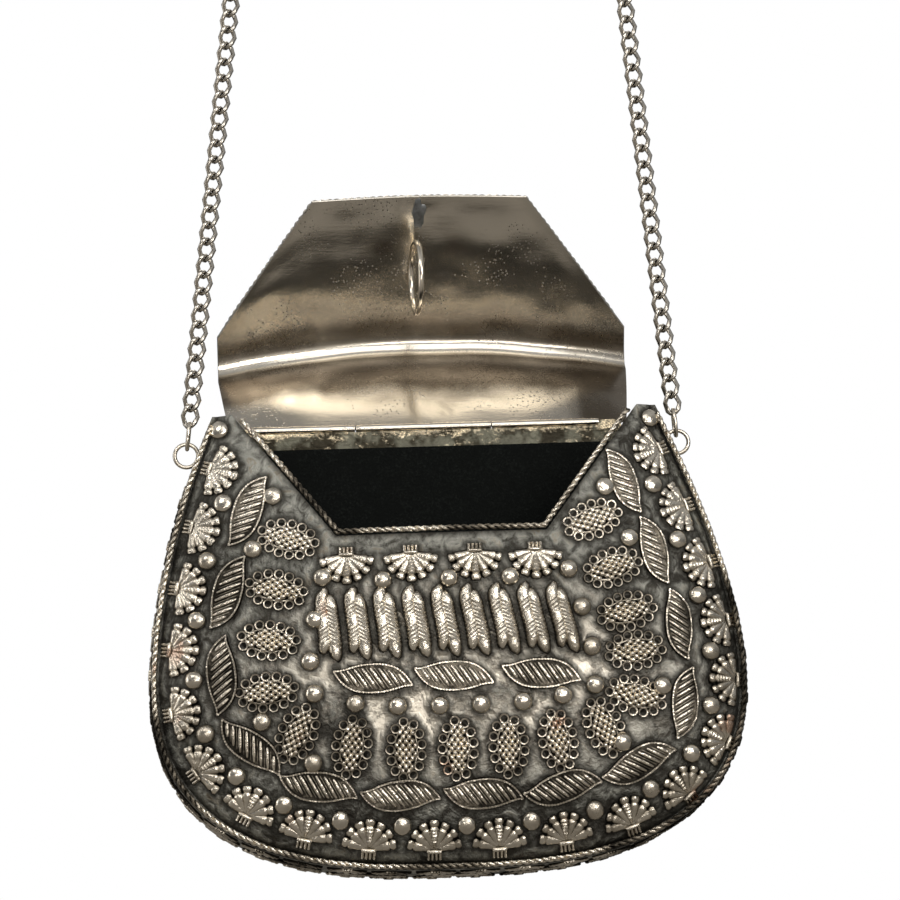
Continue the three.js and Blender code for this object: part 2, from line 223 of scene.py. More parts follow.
# A socket of a node tree; sums with it add their Math nodes
class Wire:
    def __init__(self, tree, socket=None):
        self.tree, self.socket = tree, socket

    def node(self, kind, settings=None, inputs=None, output=0):
        made = self.tree.nodes.new(kind)
        for name, value in (settings or {}).items():
            if name == "stops":
                ramp = made.color_ramp.elements
                while len(ramp) < len(value):
                    ramp.new(0.5)
                for stop, (at, colour) in zip(ramp, value):
                    stop.position, stop.color = at, (*colour, 1)
            else:
                setattr(made, name, value)
        for name, value in (inputs or {}).items():
            self.plug(made.inputs[name], value)
        return Wire(self.tree, made.outputs[output])

    def plug(self, socket, value):
        if isinstance(value, Wire):
            self.tree.links.new(value.socket, socket)
        elif socket.type == "RGBA" and len(value) == 3:
            socket.default_value = (*value, 1)
        else:
            socket.default_value = value

    # Another output of the same node
    def part(self, output):
        return Wire(self.tree, self.socket.node.outputs[output])

    def sum(self, operation, *values):
        return self.node("ShaderNodeMath", {"operation": operation}, dict(enumerate(values)))

    def __add__(self, other):
        return self.sum("ADD", self, other)

    def __sub__(self, other):
        return self.sum("SUBTRACT", self, other)

    def __mul__(self, other):
        return self.sum("MULTIPLY", self, other)

    def __pow__(self, other):
        return self.sum("POWER", self, other)

    def __radd__(self, other):
        return self.sum("ADD", other, self)

    def __rsub__(self, other):
        return self.sum("SUBTRACT", other, self)

    def __rmul__(self, other):
        return self.sum("MULTIPLY", other, self)

    def between(self, low, high):
        settings = {"interpolation_type": "SMOOTHSTEP"}
        return self.node("ShaderNodeMapRange", settings, {"Value": self, "From Min": low, "From Max": high})

    def mix(self, first, second):
        settings = {"data_type": "RGBA", "clamp_factor": True}
        return self.node("ShaderNodeMix", settings, {0: self, 6: first, 7: second}, 2)

    def attribute(self, name):
        return self.node("ShaderNodeAttribute", {"attribute_name": name}, None, "Fac")


def newFinish(name):
    made = bpy.data.materials.new(name)
    made.use_nodes = True
    made.node_tree.nodes.clear()
    return made, Wire(made.node_tree)


# Object coordinates, stretched or slid
def place(wire, stretch=(1, 1, 1), slide=(0, 0, 0)):
    spot = wire.node("ShaderNodeTexCoord", output="Object")
    inputs = {"Vector": spot, "Location": slide, "Scale": stretch}
    return wire.node("ShaderNodeMapping", {"vector_type": "POINT"}, inputs)


def grain(wire, spot, size, detail=4, rough=0.55, distortion=0.0):
    inputs = {"Vector": spot, "Scale": size, "Detail": detail, "Roughness": rough, "Distortion": distortion}
    return wire.node("ShaderNodeTexNoise", None, inputs)


metal = {"Metallic": 1.0}


# Joins a finish to its output; `bump` is the depth in metres and the strength of its relief
def closeFinish(wire, colour, roughness, height=None, bump=(0, 0), constants=metal):
    shader = wire.node("ShaderNodeBsdfPrincipled", None, {"Base Color": colour, "Roughness": roughness})
    sockets = shader.socket.node.inputs
    for name, value in constants.items():
        wire.plug(sockets[name], value)
    if height is not None:
        inputs = {"Height": height, "Distance": bump[0], "Strength": bump[1]}
        wire.plug(sockets["Normal"], wire.node("ShaderNodeBump", None, inputs))
    out = wire.tree.nodes.new("ShaderNodeOutputMaterial")
    wire.tree.links.new(shader.socket, out.inputs["Surface"])


# Raised silver: bright on its ridges, brown-grey on its flanks, black in the hollows, and older and
# darker in places all over the front. The tones run from the hollows to the ridges.
silver = {
    "tones": [(0.0, (0.016, 0.0145, 0.012)), (0.22, (0.06, 0.053, 0.042)), (0.48, (0.30, 0.262, 0.205)),
              (0.74, (0.62, 0.56, 0.465)), (1.0, (0.86, 0.795, 0.68))],
    "copper": (0.50, 0.27, 0.17), "gloss": 0.17, "dull": 0.46,
    "ageSize": 34, "cloudSize": 190, "fineSize": 1000, "copperSize": 75, "pitSize": 420, "pitDepth": 0.0006,
}


def raisedSilver(name, ageing, patchy=1.0):
    made, wire = newFinish(name)
    spot = place(wire)
    relief = wire.attribute("relief")
    age = grain(wire, spot, silver["ageSize"], 2, 0.5).between(0.42, 0.64)
    cloud = grain(wire, spot, silver["cloudSize"], 5, 0.62)
    fine = grain(wire, spot, silver["fineSize"], 3, 0.5)
    worn = relief * 1.08 + ((cloud - 0.5) * 0.9 + (fine - 0.5) * 0.5) * patchy - age * ageing
    tone = wire.node("ShaderNodeValToRGB", {"stops": silver["tones"]}, {"Fac": worn})
    copper = grain(wire, spot, silver["copperSize"], 2, 0.5).between(0.68, 0.76)
    copper = copper * worn.between(0.3, 0.6) * 0.6
    colour = copper.mix(tone, silver["copper"])
    polished = worn.between(0.3, 0.9)
    roughness = silver["dull"] - polished * (silver["dull"] - silver["gloss"]) + age * 0.06
    height = grain(wire, spot, silver["pitSize"], 4, 0.6) + fine * 0.4
    closeFinish(wire, colour, roughness, height, (silver["pitDepth"], 0.8 * patchy))
    return made


# The ground between the ornaments: a blue-grey patina, darkened beside them by soot and by painted contact
# shade, and polished round the middle of the front, where it is proudest, with a painted reflection highlight
# there too
ground = {
    # The polish tone is polished metal, and round the middle of the front it is also a painted reflection
    # highlight
    "patina": (0.42, 0.42, 0.375), "darkPatch": (0.06, 0.056, 0.048), "polish": (0.70, 0.64, 0.54),
    "brown": (0.30, 0.25, 0.18), "sootAndShade": (0.035, 0.032, 0.027), "sootAndShadeReach": 2.1,
    "middle": (4, -78), "reach": 0.062, "flatter": 0.55, "lower": 2.6, "depth": 0.0013,
}


def patinaClouds(wire, spot, cloud):
    mottle = grain(wire, spot, 260, 5, 0.65, 0.8)
    return mottle, (cloud * 0.4 + mottle * 0.6).between(0.40, 0.60).mix(ground["darkPatch"], ground["patina"])


def patinaSilver(name, polishedHighlitMiddle):
    made, wire = newFinish(name)
    spot = place(wire)
    cloud = grain(wire, spot, 70, 6, 0.62, 0.6)
    fine = grain(wire, spot, 900, 4, 0.65)
    mottle, patina = patinaClouds(wire, spot, cloud)
    brown = mottle.between(0.54, 0.68) * cloud.between(0.4, 0.6) * 0.8
    patina = brown.mix(patina, ground["brown"])
    # Soot and painted contact shade: the ground is darker close to every ornament
    sootAndShade = wire.attribute("relief") * (mottle * 0.7 + fine * 0.3).between(0.3, 0.5)
    patina = (sootAndShade * 0.92).mix(patina, ground["sootAndShade"])
    polished = cloud + fine * 0.3
    # Round the middle of the front the ground is polished, and its brighter colour there is partly a painted
    # reflection highlight
    if polishedHighlitMiddle:
        x, z = ground["middle"]
        across = wire.node("ShaderNodeSeparateXYZ", None, {0: place(wire, slide=-rowPoint(x, 0, z))})
        up = across.part(2)
        far = ((across * across) * ground["flatter"] + (up * up) * ground["lower"]) ** 0.5
        polished = (1 - far.between(0.2 * ground["reach"], ground["reach"])) * polished.between(0.48, 0.70)
    else:
        polished = polished.between(0.62, 0.85) * 0.35
    polished = polished * (1 - sootAndShade)
    colour = polished.mix(patina, ground["polish"])
    roughness = 0.42 - polished * 0.16 + fine * 0.1
    pitted = 1 - polished
    height = grain(wire, spot, 38, 2) * 1.6 + cloud + mottle * pitted * 0.9 + fine * pitted * 0.5
    closeFinish(wire, colour, roughness, height, (ground["depth"], 0.7))
    return made


# The lid: warm champagne nickel with tarnish inside and dark reflections painted on as darker patches, and
# the case's patina outside
nickel = {
    "bright": (0.83, 0.77, 0.665), "tarnish": (0.30, 0.25, 0.175), "dark": (0.09, 0.075, 0.055),
    "darkPatch": (0.17, 0.14, 0.105), "brushing": (1, 6, 14), "freckleSize": 950, "depth": 0.0004,
}


def champagneNickel(name):
    made, wire = newFinish(name)
    spot = place(wire)
    cloud = grain(wire, spot, 38, 5, 0.62, 0.4)
    inputs = {"Vector": spot, "Scale": nickel["freckleSize"]}
    cells = wire.node("ShaderNodeTexVoronoi", {"feature": "F1"}, inputs)
    freckle = (1 - cells.between(0.10, 0.30)) * grain(wire, spot, 75, 3).between(0.47, 0.60)
    brushed = grain(wire, place(wire, nickel["brushing"]), 120, 3, 0.6)
    marks, outside = wire.attribute("relief"), wire.attribute("outside")
    # The painted dark reflections darken the nickel towards the brown darkPatch tone
    darkPatch = (marks * 1.15 + (cloud - 0.5) * marks * 1.6).between(0, 1)
    tarnish = cloud.between(0.5, 0.78) * 0.75
    colour = tarnish.mix(nickel["bright"], nickel["tarnish"])
    colour = darkPatch.mix(colour, nickel["darkPatch"])
    colour = (freckle * 0.75).mix(colour, nickel["dark"])
    colour = outside.mix(colour, patinaClouds(wire, spot, cloud)[1])
    roughness = 0.16 + tarnish * 0.16 + freckle * 0.25 + brushed * 0.05 + darkPatch * 0.08 + outside * 0.22
    height = cloud * 0.9 + brushed * 0.12 - freckle * 0.25
    closeFinish(wire, colour, roughness, height, (nickel["depth"], 0.3))
    return made


drawnWire = {"dark": (0.04, 0.037, 0.033), "depth": 0.00008}


def wireSteel(name, bright, gloss):
    made, wire = newFinish(name)
    spot = place(wire)
    cloud = grain(wire, spot, 260, 4, 0.6)
    worn = (wire.attribute("relief") + (cloud - 0.5) * 0.5).between(0.1, 0.6)
    colour = worn.mix(drawnWire["dark"], bright)
    roughness = gloss + 0.2 - worn * 0.2 + cloud * 0.06
    height = cloud + grain(wire, spot, 1400, 2) * 0.3
    closeFinish(wire, colour, roughness, height, (drawnWire["depth"], 0.4))
    return made


# The hinge leaf: rough and greenish brown, with bare golden spots where it was soldered
brass = {
    "dark": (0.06, 0.053, 0.038), "crust": (0.22, 0.215, 0.165), "bare": (0.78, 0.66, 0.46),
    "streaks": (0.5, 1, 1), "depth": 0.0007,
}


def solderedBrass(name):
    made, wire = newFinish(name)
    spot = place(wire)
    crust = grain(wire, place(wire, brass["streaks"]), 330, 5, 0.7, 0.6)
    fine = grain(wire, spot, 1100, 3, 0.6)
    bare = (wire.attribute("relief") * 0.34 + crust + (fine - 0.5) * 0.5).between(0.74, 0.94)
    tone = grain(wire, spot, 150, 3).between(0.42, 0.6).mix(brass["dark"], brass["crust"])
    colour = bare.mix(tone, brass["bare"])
    closeFinish(wire, colour, 0.55 - bare * 0.3, crust * 1.4 + fine * 0.5, (brass["depth"], 0.8))
    return made


# Near-black velvet: short pile that catches a little light at its edges
pile = {
    "dark": (0.0035, 0.0045, 0.0040), "light": (0.016, 0.019, 0.017), "depth": 0.0006,
    "sheen": {"Sheen Weight": 0.22, "Sheen Roughness": 0.4, "Sheen Tint": (0.55, 0.6, 0.56, 1),
              "Specular IOR Level": 0.15},
}


def blackVelvet(name):
    made, wire = newFinish(name)
    spot = place(wire)
    fibres = grain(wire, spot, 1500, 3, 0.7)
    nap = grain(wire, spot, 130, 4, 0.6, 0.8)
    colour = (fibres.between(0.45, 0.72) * nap.between(0.3, 0.7)).mix(pile["dark"], pile["light"])
    closeFinish(wire, colour, 0.85 + nap * 0.1, fibres + nap * 0.7, (pile["depth"], 0.9), pile["sheen"])
    return made


finishes = {
    "raised": raisedSilver("raisedSilver", 0.24),
    "edging": raisedSilver("darkEdging", 0.8),
    "domes": raisedSilver("domeSilver", 0.2, 0.45),
    "ground": patinaSilver("patinaSilver", True),
    "plain": patinaSilver("plainPatina", False),
    "nickel": champagneNickel("champagneNickel"),
    "wire": wireSteel("brightWire", (0.80, 0.73, 0.62), 0.16),
    "chain": wireSteel("chainSteel", (0.60, 0.56, 0.495), 0.2),
    "velvet": blackVelvet("blackVelvet"),
    "solder": wireSteel("greySolder", (0.40, 0.42, 0.43), 0.4),
    "leafMetal": solderedBrass("solderedBrass"),
}
print("finishes made")


def objectMode():
    if bpy.context.object and bpy.context.object.mode != "OBJECT":
        bpy.ops.object.mode_set(mode="OBJECT")


def clearPick():
    objectMode()
    bpy.ops.object.select_all(action="DESELECT")


def only(piece):
    clearPick()
    piece.select_set(True)
    bpy.context.view_layer.objects.active = piece


def edit(piece, action="DESELECT"):
    only(piece)
    bpy.ops.object.mode_set(mode="EDIT")
    bpy.ops.mesh.select_all(action=action)


# In edit mode: selects the points whose place passes the test
def pick(piece, test):
    shape = bmesh.from_edit_mesh(piece.data)
    bpy.ops.mesh.select_all(action="DESELECT")
    bpy.ops.mesh.select_mode(type="VERT")
    for point in shape.verts:
        point.select = bool(test(point.co))
    shape.select_flush(True)
    bmesh.update_edit_mesh(piece.data)


def started(name):
    piece = bpy.context.object
    piece.name = name
    return piece


def named(piece, name):
    piece.name = name
    piece.data.name = name
    return piece


def extrude(x, y, z):
    bpy.ops.mesh.extrude_region_move(TRANSFORM_OT_translate={"value": (x, y, z)})


def flip(piece):
    edit(piece, "SELECT")
    bpy.ops.mesh.flip_normals()
    objectMode()


# A profile of (along x, out from x) points, spun round the x axis
def spun(name, profile, steps, sweep=math.pi):
    clearPick()
    bpy.ops.mesh.primitive_plane_add(size=1)
    piece = started(name)
    edit(piece, "SELECT")
    bpy.ops.mesh.merge(type="CENTER")
    bpy.ops.transform.translate(value=(profile[0][0], profile[0][1], 0))
    for (ax, ay), (bx, by) in zip(profile, profile[1:]):
        extrude(bx - ax, by - ay, 0)
    bpy.ops.mesh.select_all(action="SELECT")
    bpy.ops.mesh.spin(steps=steps, angle=-sweep, center=(0, 0, 0), axis=(1, 0, 0))
    bpy.ops.mesh.select_all(action="SELECT")
    bpy.ops.mesh.remove_doubles(threshold=0.001)
    bpy.ops.mesh.normals_make_consistent(inside=False)
    objectMode()
    top = max(piece.data.polygons, key=lambda face: face.center.z)
    if top.normal.z < 0:
        flip(piece)
    return piece


# A ball's upper half, left in edit mode
def halfBall(name, segments, rings, radius):
    clearPick()
    bpy.ops.mesh.primitive_uv_sphere_add(segments=segments, ring_count=rings, radius=radius)
    piece = started(name)
    edit(piece)
    pick(piece, lambda p: p.z < -0.01)
    bpy.ops.mesh.delete(type="VERT")
    return piece


def wireRing(name, radius, wireRadius, around, across, location=(0, 0, 0), rotation=(0, 0, 0)):
    clearPick()
    bpy.ops.mesh.primitive_torus_add(
        major_segments=around, minor_segments=across, major_radius=radius, minor_radius=wireRadius,
        location=location, rotation=rotation)
    bpy.ops.object.transform_apply(location=True, rotation=True, scale=True)
    return started(name)


def stretched(piece, x=1.0, y=1.0, z=1.0):
    piece.data.transform(Matrix.Diagonal((x, y, z, 1)))
    return piece


def moved(piece, spot, turn=0.0):
    piece.data.transform(Matrix.Translation(spot) @ Matrix.Rotation(turn, 4, "Z"))
    return piece


# From millimetres to metres, with the drawing's origin at `centre`
def toMetres(piece, centre=rowPoint(0, 0, 0)):
    piece.data.transform(Matrix.Translation(centre) @ Matrix.Scale(mm, 4))
    return piece


def copied(piece):
    made = piece.copy()
    made.data = piece.data.copy()
    made.name = "part"
    bpy.context.collection.objects.link(made)
    return made


def joined(parts, name):
    clearPick()
    for part in parts:
        part.select_set(True)
    bpy.context.view_layer.objects.active = parts[0]
    bpy.ops.object.join()
    return named(bpy.context.object, name)


def dropPiece(piece):
    bpy.data.objects.remove(piece, do_unlink=True)


# Stores a number from 0 to 1 at each point for the finishes: how polished it is on raised work and wire, how
# much soot and painted contact shade darken the front plate, and how much painted dark reflection and edge
# darkening darken the lid
def markRelief(piece, rule):
    marks = piece.data.attributes.get("relief") or piece.data.attributes.new("relief", "FLOAT", "POINT")
    for point, mark in zip(piece.data.vertices, marks.data):
        mark.value = min(max(rule(point.co), 0), 1)
    return piece


def softEdges(piece, angle):
    only(piece)
    bpy.ops.object.shade_smooth_by_angle(angle=math.radians(angle))
    return piece


def settle(piece, name, finish, bodyName, replaced=()):
    named(piece, name)
    piece.data.materials.clear()
    piece.data.materials.append(finishes[finish])
    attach(piece, bodyName)
    if replaced:
        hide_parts(*replaced)
    return piece


# A wire along points, with a radius at each; a closed wire meets its own start
def tube(name, points, radii, sides=6, closed=False):
    clearPick()
    bpy.ops.curve.primitive_nurbs_path_add()
    curve = started(name).data
    curve.splines.clear()
    line = curve.splines.new("POLY")
    line.points.add(len(points) - 1)
    for node, spot, radius in zip(line.points, points, radii):
        node.co = (*spot, 1)
        node.radius = radius
    line.use_cyclic_u = closed
    curve.dimensions, curve.use_fill_caps = "3D", True
    curve.bevel_depth, curve.bevel_resolution = 1.0, sides // 2 - 2
    bpy.ops.object.convert(target="MESH")
    return softEdges(bpy.context.object, 60)


def gridOf(name, columns, rows, placeAt):
    clearPick()
    bpy.ops.mesh.primitive_grid_add(x_subdivisions=columns, y_subdivisions=rows, size=1)
    piece = started(name)
    for point in piece.data.vertices:
        point.co = placeAt(point.co.x + 0.5, point.co.y + 0.5)
    piece.data.update()
    return piece


# Turns a sheet's faces outwards and gives it a wall on its inner side
def thickened(piece, outward, thickness):
    if sum(((face.normal.dot(outward(face.center))) * face.area for face in piece.data.polygons)) < 0:
        flip(piece)
    only(piece)
    wall = piece.modifiers.new("wall", "SOLIDIFY")
    wall.thickness, wall.offset, wall.use_even_offset = thickness, -1, False
    bpy.ops.object.modifier_apply(modifier="wall")
    return softEdges(piece, 50)


view = {"eye": (-53.66, -974.9, -188.6), "aim": (5.04, 16, -8.45), "roll": -2.24, "lens": 138.79}
eye, aim = rowPoint(*view["eye"]), rowPoint(*view["aim"])
lens = bpy.data.cameras.new("camera")
lens.lens, lens.sensor_width = view["lens"], 36
lens.clip_start, lens.clip_end = 0.05, 20
camera = bpy.data.objects.new("camera", lens)
bpy.context.collection.objects.link(camera)
camera.location = eye
look = (aim - eye).to_track_quat("-Z", "Y")
camera.rotation_mode = "QUATERNION"
camera.rotation_quaternion = look @ Euler((0, 0, math.radians(view["roll"]))).to_quaternion()
bpy.context.scene.camera = camera
bpy.context.scene.view_settings.view_transform = "Standard"

# Softboxes round the case: compass turn and height in degrees, distance, width and height in
# metres, and glow
softboxes = {
    "rightBox": (27, 13, 1.3, 0.42, 0.5, 6.5),
    "frontBox": (2, 27, 1.5, 0.7, 0.95, 1.7),
    "lowBox": (-4, -4.8, 0.8, 0.5, 0.08, 5.5),
    "leftBox": (-40, 34, 1.2, 0.28, 0.28, 6.5),
    "sideBox": (-88, 10, 1.1, 0.3, 0.7, 2.2),
    "backBox": (180, 50, 1.3, 0.9, 0.5, 2.0),
}
softboxTint = (1, 0.97, 0.93)
lightMiddle = rowPoint(0, midDepth, -40)


def softbox(name, turn, height, far, wide, tall, glow):
    lamp = bpy.data.lights.new(name, "AREA")
    lamp.shape = "RECTANGLE"
    lamp.size, lamp.size_y = wide, tall
    lamp.energy = glow * math.pi * wide * tall
    lamp.color = softboxTint
    holder = bpy.data.objects.new(name, lamp)
    bpy.context.collection.objects.link(holder)
    turn, height = math.radians(turn), math.radians(height)
    way = Vector((math.sin(turn) * math.cos(height), -math.cos(turn) * math.cos(height), math.sin(height)))
    holder.location = lightMiddle + way * far
    holder.rotation_mode = "QUATERNION"
    holder.rotation_quaternion = (-way).to_track_quat("-Z", "Y")


for name, setting in softboxes.items():
    softbox(name, *setting)

# White to the camera; metal sees a dim room, lighter overhead and at the sides. The tones run from
# straight down to straight up.
room = {
    "tones": [(0.0, 0.20), (0.34, 0.27), (0.46, 0.16), (0.58, 0.17), (0.75, 0.29), (0.9, 0.42), (1.0, 0.22)],
    "floorSize": 5, "floorDrop": 0.06, "floorSeen": (0.86, 0.86, 0.85), "floorReflected": (0.30, 0.28, 0.25),
    "floorGlow": (0.3, 0.3, 0.295), "floorRough": 0.7,
}


def studio():
    world = bpy.data.worlds.new("studio")
    world.use_nodes = True
    tree = world.node_tree
    tree.nodes.clear()
    wire = Wire(tree)
    way = wire.node("ShaderNodeTexCoord", output="Generated")
    up = wire.node("ShaderNodeSeparateXYZ", None, {0: way}).part(2)
    settings = {"stops": [(at, (tone, tone, tone)) for at, tone in room["tones"]]}
    shade = wire.node("ShaderNodeValToRGB", settings, {"Fac": up * 0.5 + 0.5})
    colour = wire.node("ShaderNodeLightPath", output="Is Camera Ray").mix(shade, (1, 1, 1))
    back = wire.node("ShaderNodeBackground", None, {"Color": colour, "Strength": 1.0})
    out = tree.nodes.new("ShaderNodeOutputWorld")
    tree.links.new(back.socket, out.inputs["Surface"])
    bpy.context.scene.world = world


def layFloor():
    clearPick()
    spot = (caseX, caseY, cadLow.z - room["floorDrop"])
    bpy.ops.mesh.primitive_plane_add(size=room["floorSize"], location=spot)
    floor = started("floor")
    paper, wire = newFinish("paper")
    seen = wire.node("ShaderNodeLightPath", output="Is Camera Ray")
    glow = {"Emission Color": seen.mix((0, 0, 0), room["floorGlow"]), "Emission Strength": 1.0}
    colour = seen.mix(room["floorReflected"], room["floorSeen"])
    closeFinish(wire, colour, room["floorRough"], constants=glow)
    floor.data.materials.append(paper)


studio()
layFloor()
print("camera, light and floor set")

plates = {
    "columns": 300, "rows": 74, "backColumns": 180, "backRows": 44, "bandColumns": 320, "bandRows": 8,
    "dent": 0.09, "dentSize": 7.0, "crowding": 1.5,
}


def outlineAt(t):
    return pointOn(outline, min(max(t, 0), 1) * outlineSteps)


def notchAt(t):
    fromEnd, share = min(t, 1 - t), form["notchShare"]
    if fromEnd < share:
        x = lerp(form["mouthHalfWidth"], form["notchHalfWidth"], fromEnd / share)
        return Vector((-x if t < 0.5 else x, -form["notchDrop"] * fromEnd / share))
    return Vector(((t - 0.5) / (0.5 - share) * form["notchHalfWidth"], -form["notchDrop"]))


def mouthAt(t):
    return Vector(((2 * t - 1) * form["mouthHalfWidth"], 0))


# A point of the outline drawn towards the middle by a ratio, as the domed part's edge is
def shrunk(edge, ratio):
    drop = form["widestDrop"]
    z = -drop + (edge.y + drop) * ratio if edge.y < -drop else edge.y
    return Vector((lean(z) + (edge.x - lean(edge.y)) * ratio, z))


# A sheet from a line at the mouth to the outline, with its last row in the flat rim
def plateShell(name, innerPoint, skin, side, columns, rows):
    def placeAt(t, k):
        edge = outlineAt(t)
        row = k * rows
        if row > rows - 0.5:
            return rowPoint(edge.x, skin(edge.x, edge.y), edge.y)
        w = 1 - (1 - min(row / (rows - 1), 1)) ** plates["crowding"]
        p = innerPoint(t).lerp(shrunk(edge, form["rimRatio"]), w)
        dent = plates["dent"] * wobble(p.x / plates["dentSize"], p.y / plates["dentSize"], side * 9)
        return rowPoint(p.x, skin(p.x, p.y) + side * dent * smooth(0, 0.1, 1 - w), p.y)
    piece = gridOf(name, columns, rows, placeAt)
    return thickened(piece, lambda c: Vector((0, side, 0)), form["sheet"] * mm)


front = plateShell("frontPlate", notchAt, frontSkin, -1, plates["columns"], plates["rows"])
settle(front, "frontPlate", "ground", "case", ["front_plate"])
back = plateShell("backPlate", mouthAt, backSkin, 1, plates["backColumns"], plates["backRows"])
settle(back, "backPlate", "plain", "case", ["back_plate"])


def bandAt(t, k):
    p = outlineAt(t)
    return rowPoint(p.x, lerp(form["gap"], form["depth"] - form["gap"], k), p.y)


# Away from the case's middle line
def fromMiddle(point):
    middle = rowPoint(0, midDepth, -60)
    return Vector((point.x - middle.x, 0, point.z - middle.z))


band = gridOf("sideBand", plates["bandColumns"], plates["bandRows"], bandAt)
band = thickened(band, fromMiddle, form["sheet"] * mm)
settle(band, "sideBand", "plain", "case", ["side_band"])
print("plates and band made")

rope = {"radius": 0.9, "strand": 0.5, "pitch": 4.4, "turnSteps": 12, "sides": 6, "trim": 3, "notchSteps": 160}


# Two strands twisted round a path of points in millimetres in the case's own directions
def twisted(name, path):
    radius, strand = rope["radius"], rope["strand"]
    steps = round(runLengths(path)[-1] / rope["pitch"] * rope["turnSteps"])
    line = respaced(path, steps)
    side = (line[1] - line[0]).orthogonal().normalized()
    strands = [[], []]
    for i, p in enumerate(line):
        along = wayAt(line, i, 1)
        side = (side - along * side.dot(along)).normalized()
        turn = 2 * math.pi * i / rope["turnSteps"]
        reach = (side * math.cos(turn) + along.cross(side) * math.sin(turn)) * (radius - strand)
        strands[0].append(p + reach)
        strands[1].append(p - reach)
    made = [tube(name, points, [strand] * len(points), rope["sides"]) for points in strands]
    for part in made:
        marks = part.data.attributes.new("relief", "FLOAT", "POINT")
        for i, mark in enumerate(marks.data):
            centre = line[min(i // rope["sides"], steps)]
            mark.value = smooth(0.5 * radius, 0.98 * radius, (part.data.vertices[i].co - centre).length)
    return toMetres(joined(made, name))


def rimPath(y):
    line = drawnIn(outline, rope["radius"])[rope["trim"]:-rope["trim"]]
    return [Vector((p.x, y, p.y)) for p in line]


def notchPath():
    slant = math.atan2(form["notchDrop"], form["mouthHalfWidth"] - form["notchHalfWidth"])
    lift, steps = rope["radius"] + form["gap"], rope["notchSteps"]
    points = []
    for i in range(rope["trim"], steps - rope["trim"] + 1):
        p = notchAt(i / steps)
        onSide = p.y > -form["notchDrop"] + 0.01
        across = math.copysign(math.sin(slant) * lift, p.x) if onSide else 0
        up = math.cos(slant) * lift if onSide else lift
        points.append(Vector((p.x - across, frontSkin(p.x, p.y), p.y + up)))
    return points


ropeReach = form["sheet"] + form["gap"] + rope["radius"]
ropePaths = {"front": rimPath(-ropeReach), "back": rimPath(form["depth"] + ropeReach), "notch": notchPath()}
for rim, path in ropePaths.items():
    name = rim + "Rope"
    settle(twisted(name, path), name, "edging", "case", [rim + "_edging"])
print("twisted edging made")

# The lid is drawn closed, with its hinge line at the origin: a strip, a fold along a bowed crease,
# shoulders, and a flap that narrows to its end
lid = {
    "openTurn": 138, "hingeHeight": 1.7, "stripHinge": 1.7, "stripEnds": 37, "creaseBow": 11.2,
    "stripLift": 0.9, "stripHalfWidth": 59, "creaseHalfWidth": 62, "flapTilt": 5.5, "creaseRadius": 6.0,
    "shoulderDrop": 11.6, "flapLength": 51, "flapEnd": 32.3, "dent": 0.34, "spring": 0.4, "springReach": 9,
    "flare": 1.05, "flareFrom": 1, "flareTo": 14, "arch": -2.0, "columns": 96, "ropeInset": 1.2,
}
lidRows = {"strip": 16, "fold": 6, "shoulder": 8, "flap": 30}
allRows = sum(lidRows.values())
foldTurn = math.pi / 2 - math.radians(lid["flapTilt"])
foldTrim = lid["creaseRadius"] * math.tan(foldTurn / 2)
lidTop = lid["stripLift"] + form["sheet"] / 2
hingeLine = (0, form["depth"] + form["sheet"] / 2, lid["hingeHeight"])
opening = Matrix.Rotation(-math.radians(lid["openTurn"]), 4, "X")
closing = Matrix.Rotation(math.radians(lid["openTurn"]), 4, "X")


def creaseReach(x):
    return lid["stripEnds"] + lid["creaseBow"] * (1 - (x / lid["creaseHalfWidth"]) ** 2)


def flapHalfWidth(drop):
    if drop < lid["shoulderDrop"]:
        return lid["creaseHalfWidth"]
    k = (drop - lid["shoulderDrop"]) / (lid["flapLength"] - lid["shoulderDrop"])
    return lerp(lid["creaseHalfWidth"], lid["flapEnd"], k)


# The flap springs outwards a little from its crease, and its side edges stand off the ornaments
def flapPoint(across, drop):
    x = across * flapHalfWidth(drop)
    far = max(drop - foldTrim, 0) / lid["springReach"]
    spring = lid["spring"] * far * math.exp(1 - far) * (1 - abs(across) ** 4)
    spring += lid["flare"] * abs(across) ** 3 * smooth(lid["flareFrom"], lid["flareTo"], drop)
    y = creaseReach(x) + drop * math.cos(foldTurn) + spring
    return Vector((x, -y, lidTop - drop * math.sin(foldTurn)))


def lidPoint(across, row):
    strip, fold, shoulder = lidRows["strip"], lidRows["fold"], lidRows["shoulder"]
    if row <= strip:
        k = row / strip
        x = across * lerp(lid["stripHalfWidth"], lid["creaseHalfWidth"], k)
        arch = lid["arch"] * math.sin(math.pi * k) * (1 - abs(across) ** 6)
        return Vector((x, -lerp(lid["stripHinge"], creaseReach(x) - foldTrim, k), lidTop + arch))
    if row <= strip + fold:
        x, turn = across * lid["creaseHalfWidth"], foldTurn * (row - strip) / fold
        y = creaseReach(x) - foldTrim + lid["creaseRadius"] * math.sin(turn)
        return Vector((x, -y, lidTop - lid["creaseRadius"] * (1 - math.cos(turn))))
    row -= strip + fold
    if row <= shoulder:
        return flapPoint(across, lerp(foldTrim, lid["shoulderDrop"], row / shoulder))
    return flapPoint(across, lerp(lid["shoulderDrop"], lid["flapLength"], (row - shoulder) / lidRows["flap"]))


# From the closed lid's own frame to the open one's place
def opened(p):
    p = opening @ Vector(p)
    return rowPoint(p.x, hingeLine[1] + p.y, hingeLine[2] + p.z)


